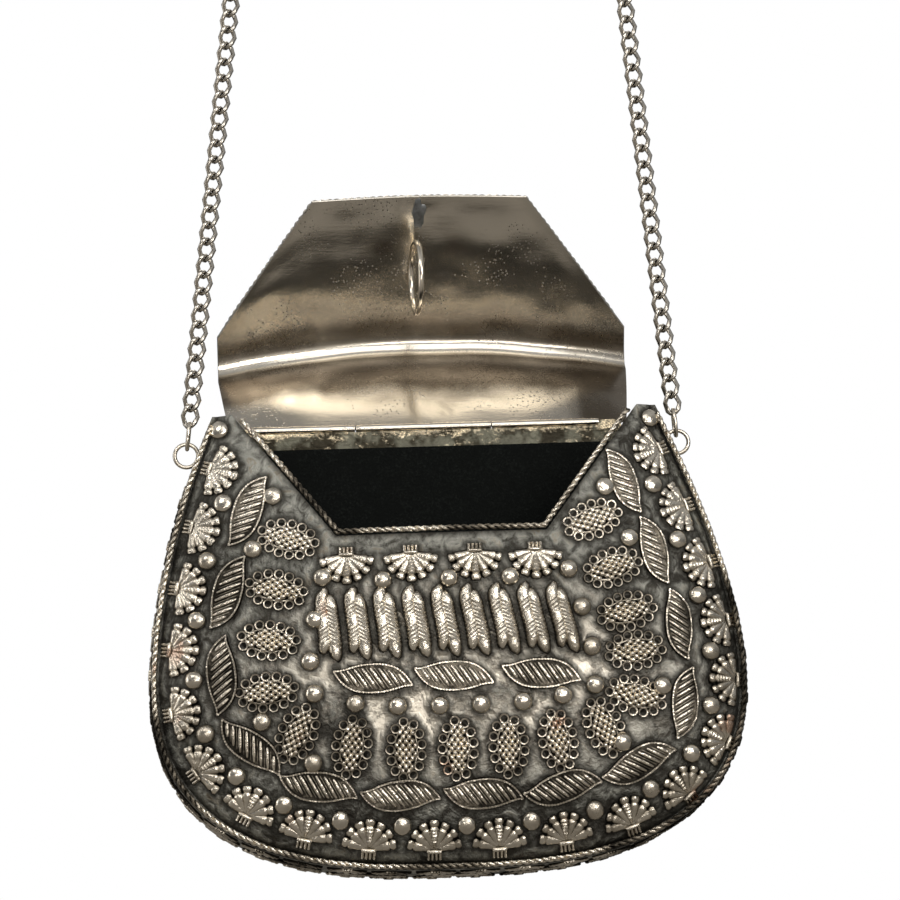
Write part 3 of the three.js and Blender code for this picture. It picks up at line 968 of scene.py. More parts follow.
# Soft dents, calm near the edges; the smaller ones are in the flap only
def lidAt(s, k):
    across, row = 2 * s - 1, k * allRows
    p = lidPoint(across, row)
    q = lidPoint(across, min(row + 0.01, allRows)) - lidPoint(across, max(row - 0.01, 0))
    normal = Vector((0, q.z, -q.y)).normalized()
    fromEdge = min(1 - abs(across), 1) * 8
    calm = smooth(0, 1, min(fromEdge, (allRows - row) / 5, row / 4))
    flap = smooth(lidRows["strip"] + lidRows["fold"], lidRows["strip"] + 16, row)
    soft = wobble(p.x / 17, row / 9, 3.1) + 0.5 * wobble(p.x / 8, row / 6, 8.4) * flap
    return opened(p + normal * soft * lid["dent"] * calm)


lidSheet = gridOf("lidSheet", lid["columns"], allRows, lidAt)
outward = opening @ Vector((0, -0.7, 0.7))
lidSheet = thickened(lidSheet, lambda c: outward, form["sheet"] * mm)

# Dark reflections painted on the inside: over the strip towards the crease and at its right end, below the
# crease and beside the ring; the flap is also darker along its edges. The pairs are where a patch starts and
# ends.
paintedReflections = {
    "strip": (0.26, 0.62), "creaseFade": (0.86, 1), "rightEnd": (0.66, 0.84), "rightShade": 0.7,
    "crease": (3.2, 4.6), "below": (8, 14), "belowShade": 0.72, "edges": (0.82, 1), "edgeShade": 0.3,
    "besideAcross": 11, "besideDrop": 35, "besideWide": 6, "besideTall": 5, "besideShade": 0.62,
}


def lidPaintedReflections(point):
    p = closing @ ((point - rowPoint(*hingeLine)) / mm)
    drop, reach = lidTop - p.z, creaseReach(p.x) - foldTrim
    wave = 0.09 * wobble(p.x / 16, 2.7, 0) + 0.04 * wobble(p.x / 4, 5.2, 0)
    if -p.y < reach + 1 and drop < 4.5:
        k = (-p.y - lid["stripHinge"]) / (reach - lid["stripHinge"])
        strip = smooth(*paintedReflections["strip"], k + wave) - 0.25 * smooth(*paintedReflections["creaseFade"], k)
        end = p.x / lid["stripHalfWidth"] + 1.5 * wave
        return max(strip, smooth(*paintedReflections["rightEnd"], end) * paintedReflections["rightShade"])
    below = smooth(*paintedReflections["crease"], drop) * (1 - smooth(*paintedReflections["below"], drop + 18 * wave))
    beside = ((abs(p.x) - paintedReflections["besideAcross"]) / paintedReflections["besideWide"]) ** 2
    beside = math.exp(-(beside + ((drop - paintedReflections["besideDrop"]) / paintedReflections["besideTall"]) ** 2))
    edge = smooth(*paintedReflections["edges"], abs(p.x) / flapHalfWidth(drop))
    return max(paintedReflections["belowShade"] * below, paintedReflections["besideShade"] * beside, paintedReflections["edgeShade"] * edge)


markRelief(lidSheet, lidPaintedReflections)
outer = lidSheet.data.attributes.new("outside", "FLOAT", "POINT")
for point, mark in zip(lidSheet.data.vertices, outer.data):
    mark.value = smooth(-0.1, 0.2, point.normal.dot(outward.normalized()))
settle(lidSheet, "lidSheet", "nickel", "lid", ["lid"])


# Down the left edge of the flap, along its end and up the right edge
def lidRopePath():
    inset, shoulder, length = lid["ropeInset"], lid["shoulderDrop"], lid["flapLength"]
    side = [5, 8, shoulder - 0.6] + [lerp(shoulder, length - inset, i / 8) for i in range(1, 9)]
    corners = [(-1, drop) for drop in side] + [(-1 + i / 6, length - inset) for i in range(1, 12)]
    corners += [(1, drop) for drop in side[::-1]]
    outwards = Vector((0, -(form["gap"] + rope["radius"]), 0))
    points = []
    for across, drop in corners:
        p = flapPoint(across * (1 - inset / flapHalfWidth(drop)), drop) + outwards
        points.append((opened(p) - rowPoint(0, 0, 0)) / mm)
    return points


settle(twisted("lidRope", lidRopePath()), "lidRope", "raised", "lid", ["lid_edging"])
print("lid made")

catch = {
    "wire": 0.95, "radius": 10.5, "turn": 0.1, "around": 64, "across": 14,
    "blobDrop": 45.8, "blobLength": 9.0, "blobWidth": 3.6, "blobHeight": 0.45, "blobPolish": 0.4,
}
ringLow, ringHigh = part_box("catch_ring")
ring = wireRing(
    "catchRing", catch["radius"] * mm, catch["wire"] * mm, catch["around"], catch["across"],
    (ringLow + ringHigh) / 2, (0, math.pi / 2, catch["turn"]))
softEdges(markRelief(ring, lambda p: 1), 60)
settle(ring, "catchRing", "wire", "lid", ["catch_ring"])


# A smear of solder where the ring meets the flap's end
def makeSmear():
    inward = Vector((0, math.sin(foldTurn), -math.cos(foldTurn)))
    clearPick()
    bpy.ops.mesh.primitive_uv_sphere_add(segments=24, ring_count=14, radius=1)
    smear = started("solderSmear")
    for point in smear.data.vertices:
        u, v, h = point.co
        ragged = 1 + 0.5 * wobble(u * 1.7, v * 1.7, 2.2)
        drop = catch["blobDrop"] + v * catch["blobLength"] / 2 * ragged
        across = u * catch["blobWidth"] / 2 * ragged / flapHalfWidth(drop)
        point.co = opened(flapPoint(across, drop) + inward * (form["sheet"] + catch["blobHeight"] * h))
    smear.data.update()
    if sum(face.normal.dot(face.center - rowPoint(0, 0, 60)) for face in smear.data.polygons) < 0:
        flip(smear)
    return softEdges(markRelief(smear, lambda p: catch["blobPolish"]), 80)


settle(makeSmear(), "solderSmear", "solder", "lid")

hinge = {
    "radius": 1.3, "bore": 0.8, "bump": 0.24, "ringPitch": 1.1, "sides": 16, "endChamfer": 0.12,
    "leafColumns": 260, "leafRows": 16, "leafHalfLength": 57, "leafTop": 0.5, "leafDrop": 6.2,
    "leafDent": 0.3, "leafWall": 0.3,
    "leafStandoff": 0.55, "plugFrom": 50.1, "plugBlend": 0.9, "plugRise": 1.8,
}


# The rough soldered leaf under the knuckles, built up past their ends
def leafAt(s, k):
    x = lerp(-hinge["leafHalfLength"], hinge["leafHalfLength"], s)
    plug = smooth(hinge["plugFrom"], hinge["plugFrom"] + hinge["plugBlend"], abs(x))
    z = lerp(-hinge["leafDrop"], hinge["leafTop"] + hinge["plugRise"] * plug, k)
    dent = wobble(x / 2.4, z / 1.3, 0.7) + 0.6 * wobble(x / 0.9, z / 0.8, 5.7)
    return rowPoint(x, form["depth"] - hinge["leafStandoff"] - hinge["leafDent"] * dent, z)


leafPiece = gridOf("hingeLeaf", hinge["leafColumns"], hinge["leafRows"], leafAt)
leafPiece = thickened(leafPiece, lambda c: Vector((0, -1, 0)), hinge["leafWall"] * mm)
markRelief(leafPiece, lambda p: 0.5 + 0.5 * smooth(-2.5 * mm, 0.4 * mm, p.z - caseZ))
settle(leafPiece, "hingeLeaf", "leafMetal", "case")


# A rolled knuckle with an uneven wall and open ends
def knuckle(node):
    low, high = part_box(node)
    length, centre, bore = (high.x - low.x) / mm, (low + high) / 2, hinge["bore"]
    steps = max(round(length / hinge["ringPitch"]), 8)
    profile = [(-length / 2, bore)]
    for i in range(steps + 1):
        x = -length / 2 + length * i / steps
        dip = hinge["bump"] * abs(wobble(x / 2.1, centre.x * 900, 1.7))
        profile.append((x, hinge["radius"] - dip - (hinge["endChamfer"] if i in (0, steps) else 0)))
    profile += [(length / 2, bore), (-length / 2, bore)]
    piece = spun(node + "Round", profile, hinge["sides"], 2 * math.pi)
    return softEdges(toMetres(piece, centre), 50)


for side, rider in (("left", "case"), ("right", "case"), ("middle", "lid")):
    node = "hinge_knuckle_" + side
    settle(knuckle(node), node + "Round", "nickel", rider, [node])
print("catch ring and hinge made")


# The ornaments, each drawn once on a flat ground in millimetres, with z as its height.
# First, a thin dark seat a little larger than a raised shape, a painted shadow round its foot.
def shadowSeatOf(part, wider, longer):
    height = 0.12
    made = stretched(copied(part), longer, wider)
    stretched(made, z=height / max(point.co.z for point in made.data.vertices))
    return markRelief(made, lambda p: 0)


# Half a spun shape lying on the ground, polished along its top
def spunLobe(profile, steps=8, tall=1.0, polish=1.0, low=0.25):
    part = stretched(spun("lobe", profile, steps), z=tall)
    return markRelief(part, lambda p: polish * smooth(low, 1, p.z / max(math.hypot(p.y * tall, p.z), 0.05)))


def sunk(part):
    depth = 0.35
    for point in part.data.vertices:
        if point.co.z < 0.02:
            point.co.z -= depth
    return part


dome = {"radius": 2.6, "height": 1.9, "seat": 0.35, "polish": 0.86, "segments": 24, "rings": 14}


def makeDome():
    piece = halfBall("dome", dome["segments"], dome["rings"], dome["radius"])
    bpy.ops.mesh.select_all(action="SELECT")
    bpy.ops.transform.resize(value=(1, 1, dome["height"] / dome["radius"]))
    bpy.ops.transform.translate(value=(0, 0, 0.14))
    # A wider ring round the dome's foot stays dark: a painted shadow
    wider = 1 + dome["seat"] / dome["radius"]
    pick(piece, lambda p: p.z < 0.15)
    extrude(0, 0, 0)
    bpy.ops.transform.resize(value=(wider, wider, 1))
    extrude(0, 0, -0.5)
    bpy.ops.transform.resize(value=(1.05, 1.05, 1))
    objectMode()
    markRelief(piece, lambda p: dome["polish"] * smooth(0.2, 0.9, p.z))
    return softEdges(piece, 40)


# Profiles are pairs of length and radius
fan = {
    "lobes": 7, "spread": 25, "focus": 2.1, "size": 1.17, "lobeLow": 0.34, "shorter": 0.02, "flatter": 0.05,
    "cuffHalfWidth": 1.9, "cuffRibs": 4, "ribFrom": 1.6, "ribPitch": 0.37, "ribCount": 10,
    "plain": [(0.1, 0), (0.3, 0.4), (1.8, 0.72), (3.6, 1.06), (4.7, 1.3), (5.2, 1.22), (5.45, 0.95),
              (5.8, 1.22), (6.4, 1.38), (6.95, 1.1), (7.2, 0.0)],
    "middleTip": [(5.2, 1.2), (5.45, 1.0), (5.8, 1.3), (6.4, 1.5), (7.0, 1.15), (7.25, 0.0)],
    "cuffRib": [(0, 0), (0.1, 0.38), (1.5, 0.42), (1.6, 0)],
}


def makeFan():
    middle = [(0.1, 0), (0.3, 0.45)]
    for i in range(fan["ribCount"]):
        x = fan["ribFrom"] + i * fan["ribPitch"]
        middle.append((x, 0.62 + 0.15 * x + (0.12 if i % 2 else -0.08)))
    middle += fan["middleTip"]
    parts = []
    for i in range(fan["lobes"]):
        step = i - (fan["lobes"] - 1) / 2
        turn = math.radians(-90 + step * fan["spread"])
        part = spunLobe(fan["plain"] if step else middle, 8, 1.05, 1.0, fan["lobeLow"])
        stretched(part, 1 - fan["shorter"] * abs(step), 1, 1 - fan["flatter"] * abs(step))
        # A flat dark pad under each lobe is a painted shadow round it
        shadowPad = spunLobe([(0, 0), (0.3, 1.2), (6.4, 1.7), (7.5 - 0.15 * abs(step), 0)], 4, 0.08, 0)
        parts += [moved(sunk(item), (0, fan["focus"], 0), turn) for item in (part, shadowPad)]
    half = fan["cuffHalfWidth"]
    ridge = [(-half, 0), (-half + 0.1, 0.4), (-half + 0.5, 0.55)]
    ridge += [(-x, radius) for x, radius in ridge[::-1]]
    parts.append(moved(sunk(spunLobe(ridge, 8, 2.4)), (0, 2.2, 0)))
    for i in range(fan["cuffRibs"]):
        x = lerp(-half * 0.74, half * 0.74, i / (fan["cuffRibs"] - 1))
        rib = spunLobe(fan["cuffRib"], 6, 2.2, 1.0, -0.3)
        parts.append(moved(sunk(rib), (x, 2.45, 0), math.pi / 2))
    return softEdges(stretched(joined(parts, "fan"), fan["size"], fan["size"]), 50)


leaf = {
    "length": 21.8, "width": 7.8, "droop": 2.4, "taper": 2.4, "bedPolish": 0.3,
    "rim": 0.36, "rimHeight": 0.62, "beads": 116, "bead": (1.2, 0.78),
    "ribs": 8, "ribTurn": -56, "ribHeights": (0.62, 0.24), "ribPolish": (1.0, 0.6), "ribSeat": 0.42,
}


def leafHalfWidth(s):
    return (leaf["width"] / 2) * (1 - abs(s) ** leaf["taper"])


def leafEdge(s, side, outset=0.0):
    middle = -leaf["droop"] * math.copysign(abs(s) ** 5, s)
    return Vector((s * leaf["length"] / 2, middle + side * (leafHalfWidth(s) + outset), 0))


def leafLoop(steps, outset=0.0):
    upper = [leafEdge(-1 + 2 * i / steps, 1, outset) for i in range(steps + 1)]
    lower = [leafEdge(1 - 2 * i / steps, -1, outset) for i in range(1, steps)]
    return upper + lower


# A flat plate on the ground with the given outline, its walls reaching below the ground
def filledLoop(name, loop, top, skirt=0.5, polish=0):
    clearPick()
    bpy.ops.mesh.primitive_circle_add(vertices=len(loop), radius=1, fill_type="NGON")
    piece = started(name)
    for point, spot in zip(piece.data.vertices, loop):
        point.co = Vector((spot.x, spot.y, top - skirt))
    edit(piece, "SELECT")
    extrude(0, 0, skirt)
    bpy.ops.mesh.inset(thickness=0.3, depth=0.0)
    bpy.ops.mesh.select_all(action="SELECT")
    bpy.ops.mesh.normals_make_consistent(inside=False)
    objectMode()
    return markRelief(piece, lambda p: polish)


# A dark seat that is a painted shadow, a bed, a rim of beaded wire, and slanted ribs of which every other one
# is low
def makeLeaf():
    seat = filledLoop("seat", leafLoop(26, 0.5), 0.12)
    bed = filledLoop("bed", leafLoop(26, 0.1), 0.5, 0.7, leaf["bedPolish"])
    loop = respaced(leafLoop(60) + [leafEdge(-1, 1)], leaf["beads"])[:-1]
    loop = [p + Vector((0, 0, leaf["rimHeight"])) for p in loop]
    radii = [leaf["rim"] * (leaf["bead"][0] if i % 2 else leaf["bead"][1]) for i in range(len(loop))]
    rim = markRelief(tube("rim", loop, radii, 6, True), lambda p: 0.95 * smooth(0.62, 0.98, p.z))
    parts, last = [seat, bed, rim], 2 * leaf["ribs"] - 2
    for i in range(last + 1):
        s = lerp(-0.72, 0.74, i / last)
        reach, thick = max(leafHalfWidth(s) * 0.98, 0.9), leaf["ribHeights"][i % 2]
        rib = [(-reach, 0), (-reach * 0.9, thick * 0.6), (-reach * 0.4, thick), (reach * 0.4, thick * 1.05),
               (reach * 0.9, thick * 0.6), (reach, 0)]
        part = spunLobe(rib, 6, 1.0, leaf["ribPolish"][i % 2])
        middle = leafEdge(s, 0)
        parts.append(moved(part, (middle.x, middle.y, leaf["ribSeat"]), math.radians(leaf["ribTurn"])))
    return softEdges(joined(parts, "leaf"), 45)


medallion = {
    "halfWidth": 3.0, "halfLength": 6.3, "moundTall": 0.3, "line": 0.26, "linePolish": 0.66,
    "loops": 13, "loopRadius": 1.22, "wire": 0.3, "loopPolish": 0.8,
    "nub": 0.98, "nubSides": 6, "nubAcross": 1.72, "nubAlong": 1.16, "nubUneven": 0.6,
}


def ovalLoop(halfX, halfY, count, height=0.0):
    turns = [2 * math.pi * i / 240 for i in range(241)]
    fine = [Vector((halfX * math.cos(turn), halfY * math.sin(turn), height)) for turn in turns]
    return respaced(fine, count)[:-1]


# The grains on a medallion's mound, in staggered rows
def makeNubs(wide, long):
    nub = halfBall("nub", medallion["nubSides"], medallion["nubSides"], medallion["nub"])
    objectMode()
    markRelief(nub, lambda p: smooth(0.05, 0.5, p.z))
    made = []
    for row in range(-5, 6):
        for column in range(-2, 3):
            x = (column + (0.5 if row % 2 else 0)) * medallion["nubAcross"]
            y = row * medallion["nubAlong"]
            far = (x / (wide - 0.1)) ** 2 + (y / (long - 0.1)) ** 2
            if far < 0.98:
                uneven = wobble(x * 1.3, y * 1.3, 4.1)
                lift = 0.05 + medallion["moundTall"] * wide * math.sqrt(max(1 - far, 0)) + 0.25 * uneven
                size = Matrix.Diagonal((0.82, 1.0, 0.95 + medallion["nubUneven"] * uneven, 1))
                part = copied(nub)
                part.data.transform(Matrix.Translation((x, y, lift)) @ size)
                made.append(part)
    dropPiece(nub)
    return made


# A dark seat that is a painted shadow, a low mound covered with grains, a wire line round it, and a row of
# wire loops
def makeMedallion():
    wide, long, reach = medallion["halfWidth"], medallion["halfLength"], medallion["loopRadius"]
    seat = filledLoop("seat", ovalLoop(wide + 1.5, long + 1.5, 36), 0.1)
    mound = spunLobe([(-long, 0), (-long * 0.9, wide * 0.44), (-long * 0.6, wide * 0.8), (0, wide),
                      (long * 0.6, wide * 0.8), (long * 0.9, wide * 0.44), (long, 0)],
                     10, medallion["moundTall"], 0.0)
    parts = [seat, moved(mound, (0, 0, 0.1), math.pi / 2)] + makeNubs(wide, long)
    line = ovalLoop(wide + 0.1, long + 0.1, 44, 0.3)
    line = tube("line", line, [medallion["line"]] * len(line), 6, True)
    parts.append(markRelief(line, lambda p: medallion["linePolish"] * smooth(0.36, 0.54, p.z)))
    for spot in ovalLoop(wide + reach + 0.2, long + reach + 0.2, medallion["loops"]):
        loop = wireRing("loop", reach, medallion["wire"], 14, 5)
        markRelief(loop, lambda p: medallion["loopPolish"] * smooth(0.06, 0.25, p.z))
        parts.append(moved(loop, (spot.x, spot.y, 0.34)))
    return softEdges(joined(parts, "medallion"), 50)


bar = {
    "length": 18.6, "lobe": 2.05, "apart": 1.35, "offset": 0.75, "height": 1.75, "sway": 0.85, "slant": 0.6,
    "ribPitch": 1.1, "ridge": 1.05, "groove": 0.942, "smoothLength": 7.6,
}


# Two ribbed lobes side by side, each pointed at one end, with smooth tips
def makeBar():
    half, lobe, pitch = bar["length"] / 2, bar["lobe"], bar["ribPitch"]
    profile = [(-half, 0), (-half + 0.4, lobe * 0.34), (-half + 1.4, lobe * 0.72), (-half + 2.8, lobe * 0.98)]
    for i in range(int((bar["length"] - bar["smoothLength"]) / pitch) * 2 + 1):
        profile.append((-half + 3.4 + i * pitch / 2, lobe * (bar["ridge"] if i % 2 else bar["groove"])))
    profile += [(half - 3.2, lobe), (half - 1.5, lobe * 0.9), (half - 0.4, lobe * 0.55), (half, 0)]
    parts = []
    for side in (-1, 1):
        part = spunLobe(profile, 8, bar["height"] / lobe, 1.0, -0.1)
        # Each lobe lies on a thin dark seat, a painted shadow
        for item in (part, shadowSeatOf(part, 1.12, 1.03)):
            for point in item.data.vertices:
                point.co.x += bar["slant"] * side * point.co.y
                point.co.y += bar["sway"] * math.sin(point.co.x / half * 2.0)
            spot = (side * bar["apart"], -side * bar["offset"], 0)
            parts.append(moved(sunk(item), spot, -side * math.pi / 2))
    return softEdges(joined(parts, "bar"), 40)


ornaments = {
    "dome": makeDome(), "fan": makeFan(), "leaf": makeLeaf(), "medallion": makeMedallion(), "bar": makeBar(),
}
print("ornaments drawn:", {name: len(piece.data.polygons) for name, piece in ornaments.items()})

# Places are x and z in the case's frame. Domes stand between the fans, further in.
frontPlan = {
    "fans": 20, "fanInset": 7.6, "fanTop": -15, "domeReach": 4.1,
    "topFans": [(-27, -45.6), (-9, -45.6), (9, -45.6), (26, -45.6)],
    "leaves": 13, "leafInset": 19.3, "leafTop": -26, "smallFrom": 9, "smallSize": 0.92, "mirroredFrom": 10,
    "leafTurns": [0, -4, 7, 14, 8, 8, 3, 11, 2, 8, -9, -9, -8],
    "middleLeaves": [(-20.7, -78), (1.8, -78), (26.2, -78)],
    "medallions": 16, "medallionInset": 32.5, "medallionTop": -36,
    "bars": 9, "barsLeft": -32.6, "barPitch": 8.17, "barsDrop": -62.4, "barTurn": -4,
    "innerDomes": 14, "innerInset": 44.5, "innerTop": -49,
    "between": [(-47, -25), (47, -25), (-53, -40), (53, -40), (-51.8, -88.7), (-38, -100.6), (48.4, -97.6),
                (60.4, -82.2), (-17, -50.6), (1.5, -50.6), (18.6, -50.6)],
    "lidRoom": 0.38, "lidSide": (36, 44), "lidDrop": (-44, -36),
}
plan = frontPlan


# Ornaments that the closed flap's side edges pass over are laid flatter
def roomAt(x, z):
    return 1 - plan["lidRoom"] * smooth(*plan["lidSide"], abs(x)) * smooth(*plan["lidDrop"], z)


# Lays an ornament on the front plate
def laidOn(ornament, x, z, turn=0, size=1.0, mirrored=False):
    made, tall = copied(ornament), size * roomAt(x, z)
    for point in made.data.vertices:
        u, v, h = point.co
        across, up = turned(-u if mirrored else u, v, turn)
        px, pz = x + across * size, z + up * size
        point.co = rowPoint(px, frontSkin(px, pz), pz) + frontNormal(px, pz) * (h * tall * mm)
    if mirrored:
        made.data.flip_normals()
    return made


def laidAll(name, kind, spots, finish="raised"):
    parts = [laidOn(ornaments[kind], *spot) for spot in spots]
    settle(joined(parts, name), name, finish, "case")


fanSpots = ringPlaces(
    plan["fans"], plan["fanInset"], plan["fanTop"],
    lambda k: 1 + 3.8 * hump(k, 0.66, 0.14), lambda k: 1.5 * hump(k, 0.3, 0.08) - 1.7 * hump(k, 0.76, 0.12))
laidAll("frontFans", "fan", fanSpots + plan["topFans"])

domeSpots, reach = [], plan["domeReach"]
for (ax, az, aTurn), (bx, bz, bTurn) in zip(fanSpots, fanSpots[1:]):
    across = Vector((bx - ax, bz - az)).normalized()
    domeSpots.append(((ax + bx) / 2 - across.y * reach, (az + bz) / 2 + across.x * reach))
hornDomes = [(side * (halfWidth(-4) - 3.6), -4.2) for side in (-1, 1)]
laidAll("rimDomes", "dome", domeSpots + hornDomes, "domes")

leafSpots = ringPlaces(
    plan["leaves"], plan["leafInset"], plan["leafTop"], lambda k: 2.9 + 3.9 * math.sin(math.pi * k),
    lambda k: 3.0 * hump(k, 0.25, 0.07) + 0.8 * hump(k, 0.45, 0.15) - 1.0 * hump(k, 0.78, 0.08))
for i, (x, z, turn) in enumerate(leafSpots):
    size = plan["smallSize"] if i >= plan["smallFrom"] else 1.0
    turn += math.radians(plan["leafTurns"][i])
    leafSpots[i] = (x, z, turn, size, i >= plan["mirroredFrom"])
laidAll("frontLeaves", "leaf", leafSpots + plan["middleLeaves"])

medallionSpots = ringPlaces(
    plan["medallions"], plan["medallionInset"], plan["medallionTop"],
    lambda k: 2 + 5.5 * math.sin(math.pi * k) - 3 * hump(k, 0.9, 0.08) - 2 * hump(k, 0.2, 0.13))
laidAll("frontMedallions", "medallion", medallionSpots)

barSpots = []
for i in range(plan["bars"]):
    x, turn = plan["barsLeft"] + plan["barPitch"] * i, math.radians(plan["barTurn"] + i)
    barSpots.append((x, plan["barsDrop"], turn))
laidAll("frontBars", "bar", barSpots)

innerSpots = ringPlaces(
    plan["innerDomes"], plan["innerInset"], plan["innerTop"], lambda k: 1.2 * math.sin(math.pi * k))
laidAll("innerDomes", "dome", innerSpots + plan["between"], "domes")

# Soot from the soldering, and painted contact shade, darken the ground round every ornament
sootAndShadeSources = ["frontFans", "rimDomes", "frontLeaves", "frontMedallions", "frontBars", "innerDomes", "frontRope",
         "notchRope"]
sootAndShadeSources = [bpy.data.objects[name].data.vertices for name in sootAndShadeSources]
tree = kdtree.KDTree(sum(len(points) for points in sootAndShadeSources))
for points in sootAndShadeSources:
    for point in points:
        tree.insert(point.co, point.index)
tree.balance()
markRelief(front, lambda p: 1 - smooth(0.3, ground["sootAndShadeReach"], tree.find(p)[2] / mm))
print("front ornaments laid")

# The band carries two rows of fans, stems to its edges, and a row of leaves between them
bandPlan = {"fanSize": 0.74, "fanRow": 5.6, "fanGap": 12.6, "leafSize": 0.9, "leafGap": 23.5, "from": 26}
bandSteps = 1600
bandLine = respaced(outline, bandSteps)
bandLength = runLengths(bandLine)[-1]


def onBand(ornament, run, y, turn, size):
    made = copied(ornament)
    for point in made.data.vertices:
        u, v, h = point.co * size
        along, deep = turned(u, v, turn)
        at = (run + along) / bandLength * bandSteps
        i = min(max(int(at), 0), bandSteps - 1)
        edge, ahead = pointOn(bandLine, at), (bandLine[i + 1] - bandLine[i]).normalized()
        point.co = rowPoint(edge.x + ahead.y * h, y + deep, edge.y - ahead.x * h)
    made.data.flip_normals()
    return made


def bandRow(kind, gap, y, turn, size):
    first, last = bandPlan["from"], bandLength - bandPlan["from"]
    count = round((last - first) / gap)
    return [onBand(ornaments[kind], lerp(first, last, i / count), y, turn, size) for i in range(count + 1)]


edgeRow = bandPlan["fanRow"]
fans = bandRow("fan", bandPlan["fanGap"], edgeRow, math.pi, bandPlan["fanSize"])
fans += bandRow("fan", bandPlan["fanGap"], form["depth"] - edgeRow, 0, bandPlan["fanSize"])
settle(joined(fans, "bandFans"), "bandFans", "edging", "case")
leaves = bandRow("leaf", bandPlan["leafGap"], midDepth, 0, bandPlan["leafSize"])
settle(joined(leaves, "bandLeaves"), "bandLeaves", "edging", "case")
for piece in ornaments.values():
    dropPiece(piece)
print("band ornaments laid")

# The chain runs up from the two lugs to an arc above the case
chain = {
    "lugDrop": 8, "lugOffset": 4.4, "lugRadius": 3.4, "wire": 0.6, "polish": 0.55,
    "jumpCentre": 5.8, "jumpHalfWidth": 1.9, "jumpHalfLength": 3.9,
    "rise": 430, "shift": 12, "arc": 31, "arcSteps": 40, "pitch": 5.0, "firstLink": 11.7,
    "linkWire": 0.7, "linkEnd": 1.1, "linkRound": 2.1, "twist": 48, "tilt": 4,
}
arcCentre = Vector((chain["shift"], chain["rise"] - chain["lugDrop"]))


# A side's lug, the way up its run and the run's length
def chainRun(side):
    lug = Vector((side * (halfWidth(-chain["lugDrop"]) + chain["lugOffset"]), -chain["lugDrop"]))
    toCentre = arcCentre - lug
    length = math.sqrt(toCentre.length_squared - chain["arc"] ** 2)
    spread = -math.asin(chain["arc"] / toCentre.length) * side
    return lug, Vector(turned(*toCentre.normalized(), spread)), length


# An oval curb link with its ends twisted against each other
def makeLink():
    link = wireRing("link", chain["linkRound"], chain["linkWire"], 12, 5)
    edit(link)
    for side in (-1, 1):
        pick(link, lambda p: p.x * side > 0.9)
        bpy.ops.transform.translate(value=(side * chain["linkEnd"], 0, 0))
    objectMode()
    reach = chain["linkRound"] + chain["linkEnd"]
    for point in link.data.vertices:
        turn = math.radians(chain["twist"]) * min(max(point.co.x / reach, -1), 1)
        point.co.y, point.co.z = turned(point.co.y, point.co.z, turn)
    link.data.update()
    markRelief(link, lambda p: smooth(0.9, 2.3, math.hypot(p.y, p.z) + 0.25 * abs(p.x)))
    return softEdges(link, 80)


def chainPath():
    lugLeft, left, leftLength = chainRun(-1)
    lugRight, right, rightLength = chainRun(1)
    start, end = math.pi - math.atan2(left.x, left.y), math.atan2(-right.x, right.y)
    points = [lugLeft, lugLeft + left * leftLength]
    for i in range(1, chain["arcSteps"]):
        turn = lerp(start, end, i / chain["arcSteps"])
        points.append(arcCentre + Vector((math.cos(turn), math.sin(turn))) * chain["arc"])
    return points + [lugRight + right * rightLength, lugRight]


def makeChain():
    link, path, steps = makeLink(), chainPath(), 4000
    total, fine = runLengths(path)[-1], respaced(path, steps)
    count = round((total - 2 * chain["firstLink"]) / chain["pitch"])
    flat = Matrix.Rotation(math.pi / 2, 4, "X")
    links = []
    for i in range(count + 1):
        at = lerp(chain["firstLink"], total - chain["firstLink"], i / count) / total * steps
        spot, along = pointOn(fine, at), wayAt(fine, min(int(at), steps - 1), 2)
        tilt = Matrix.Rotation(math.radians(chain["tilt"] * math.sin(i * 2.4)), 4, "X")
        turn = Matrix(((along.x, 0, -along.y, 0), (0, 1, 0, 0), (along.y, 0, along.x, 0), (0, 0, 0, 1)))
        centre = Matrix.Translation(rowPoint(spot.x, midDepth, spot.y))
        part = copied(link)
        part.data.transform(centre @ Matrix.Scale(mm, 4) @ turn @ flat @ tilt)
        links.append(part)
    dropPiece(link)
    print("chain links:", len(links))
    return joined(links, "curbChain")


settle(makeChain(), "curbChain", "chain", "case", ["chain_left", "chain_right", "chain_top"])

for side, label in ((-1, "left"), (1, "right")):
    lug, way = chainRun(side)[:2]
    loop = wireRing("lug", chain["lugRadius"] * mm, chain["wire"] * mm, 36, 10,
                    rowPoint(lug.x, midDepth, lug.y), (math.pi / 2, 0, 0))
    softEdges(markRelief(loop, lambda p: chain["polish"]), 60)
    settle(loop, "lug_" + label + "_wire", "wire", "case", ["lug_" + label])
    centre, up = Vector((lug.x, midDepth, lug.y)), Vector((way.x, 0, way.y))
    oval = []
    for i in range(32):
        turn = i * math.pi / 16
        point = centre + up * (chain["jumpCentre"] + chain["jumpHalfLength"] * math.sin(turn))
        oval.append(point + Vector((0, chain["jumpHalfWidth"] * math.cos(turn), 0)))
    jump = markRelief(toMetres(tube("jump", oval, [chain["wire"]] * 32, 8, True)), lambda p: chain["polish"])
    settle(jump, "jump_" + label + "_wire", "wire", "case", ["jump_link_" + label])
print("lugs and jump links made")

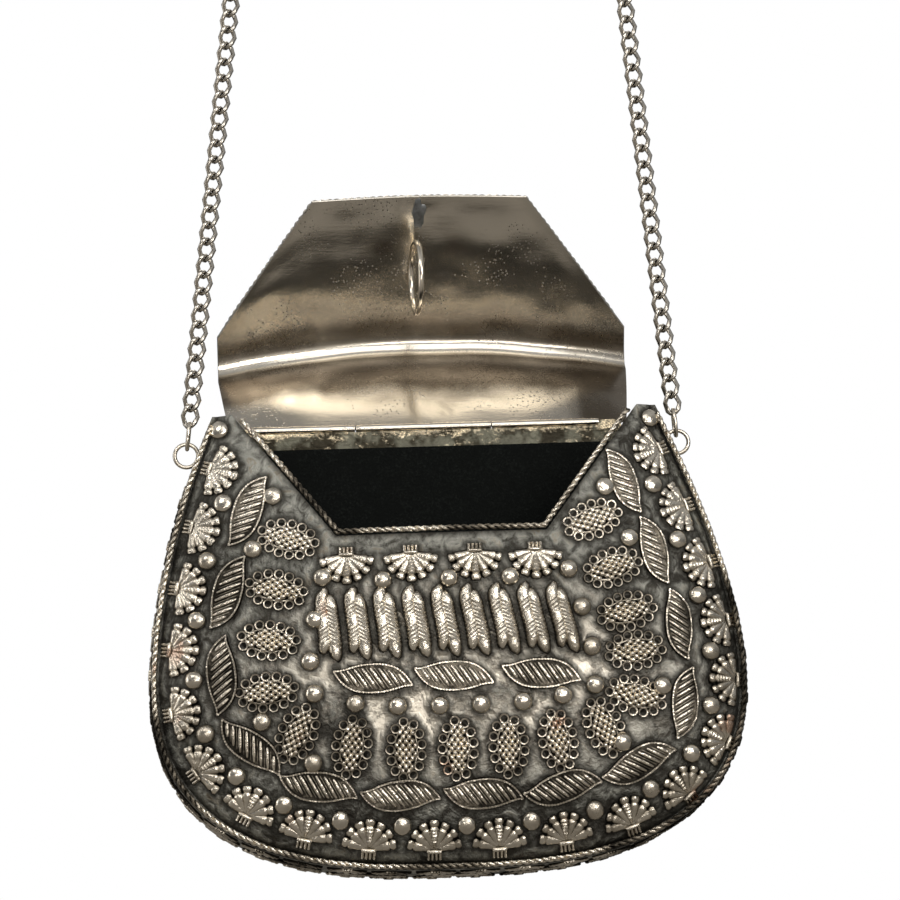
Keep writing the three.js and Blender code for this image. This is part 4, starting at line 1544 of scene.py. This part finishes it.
# The velvet is laid a little inside the plates and the band
lining = {
    "pile": 1.2, "topDrop": 4.5, "topHalfWidth": 56, "notchWider": 1.03, "notchDrop": 1.5, "ratio": 0.94,
    "from": 0.03, "bandFrom": 0.02, "bandGap": 0.3, "inset": 4, "standoff": 0.8, "follow": 0.86,
}


def liningSheet(name, innerPoint, heightAt):
    def placeAt(t, k):
        edge = outlineAt(lining["from"] + (1 - 2 * lining["from"]) * t)
        p = innerPoint(t).lerp(shrunk(edge, lining["ratio"]), 1 - (1 - k) ** plates["crowding"])
        return rowPoint(p.x, heightAt(p.x, p.y), p.y)
    return gridOf(name, 90, 26, placeAt)


def liningTopAt(t):
    return Vector(((2 * t - 1) * lining["topHalfWidth"], -lining["topDrop"]))


def liningNotchAt(t):
    p = notchAt(t)
    return Vector((p.x * lining["notchWider"], p.y - lining["notchDrop"]))


def liningBackAt(x, z):
    rise = lining["follow"] * form["backRise"] * bulge(x, z, 0)
    return form["depth"] - lining["standoff"] - lining["pile"] + rise


def liningFrontAt(x, z):
    return lining["standoff"] - lining["follow"] * form["frontRise"] * bulge(x, z, 1 - form["mouthSag"])


def lineWith(piece, node, facing):
    thickened(piece, facing, lining["pile"] * mm)
    settle(piece, piece.name, "velvet", "case", [node])


backLining = liningSheet("backLining", liningTopAt, liningBackAt)
lineWith(backLining, "lining_back", lambda c: Vector((0, -1, 0)))
frontLining = liningSheet("frontLining", liningNotchAt, liningFrontAt)
frontLining.data.transform(Matrix.Translation((0, lining["pile"] * mm, 0)))
lineWith(frontLining, "lining_front", lambda c: Vector((0, 1, 0)))
innerLine = drawnIn(outline, form["sheet"] + form["gap"] + lining["bandGap"] + lining["pile"])


def bandLiningAt(t, k):
    p = pointOn(innerLine, (lining["bandFrom"] + (1 - 2 * lining["bandFrom"]) * t) * outlineSteps)
    return rowPoint(p.x, lerp(lining["inset"], form["depth"] - lining["inset"], k), p.y)


bandLining = gridOf("bandLining", 200, 8, bandLiningAt)
lineWith(bandLining, "lining_band", lambda c: -fromMiddle(c))
print("velvet laid in")

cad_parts["hinge_pin"].material_slots[0].material = finishes["wire"]
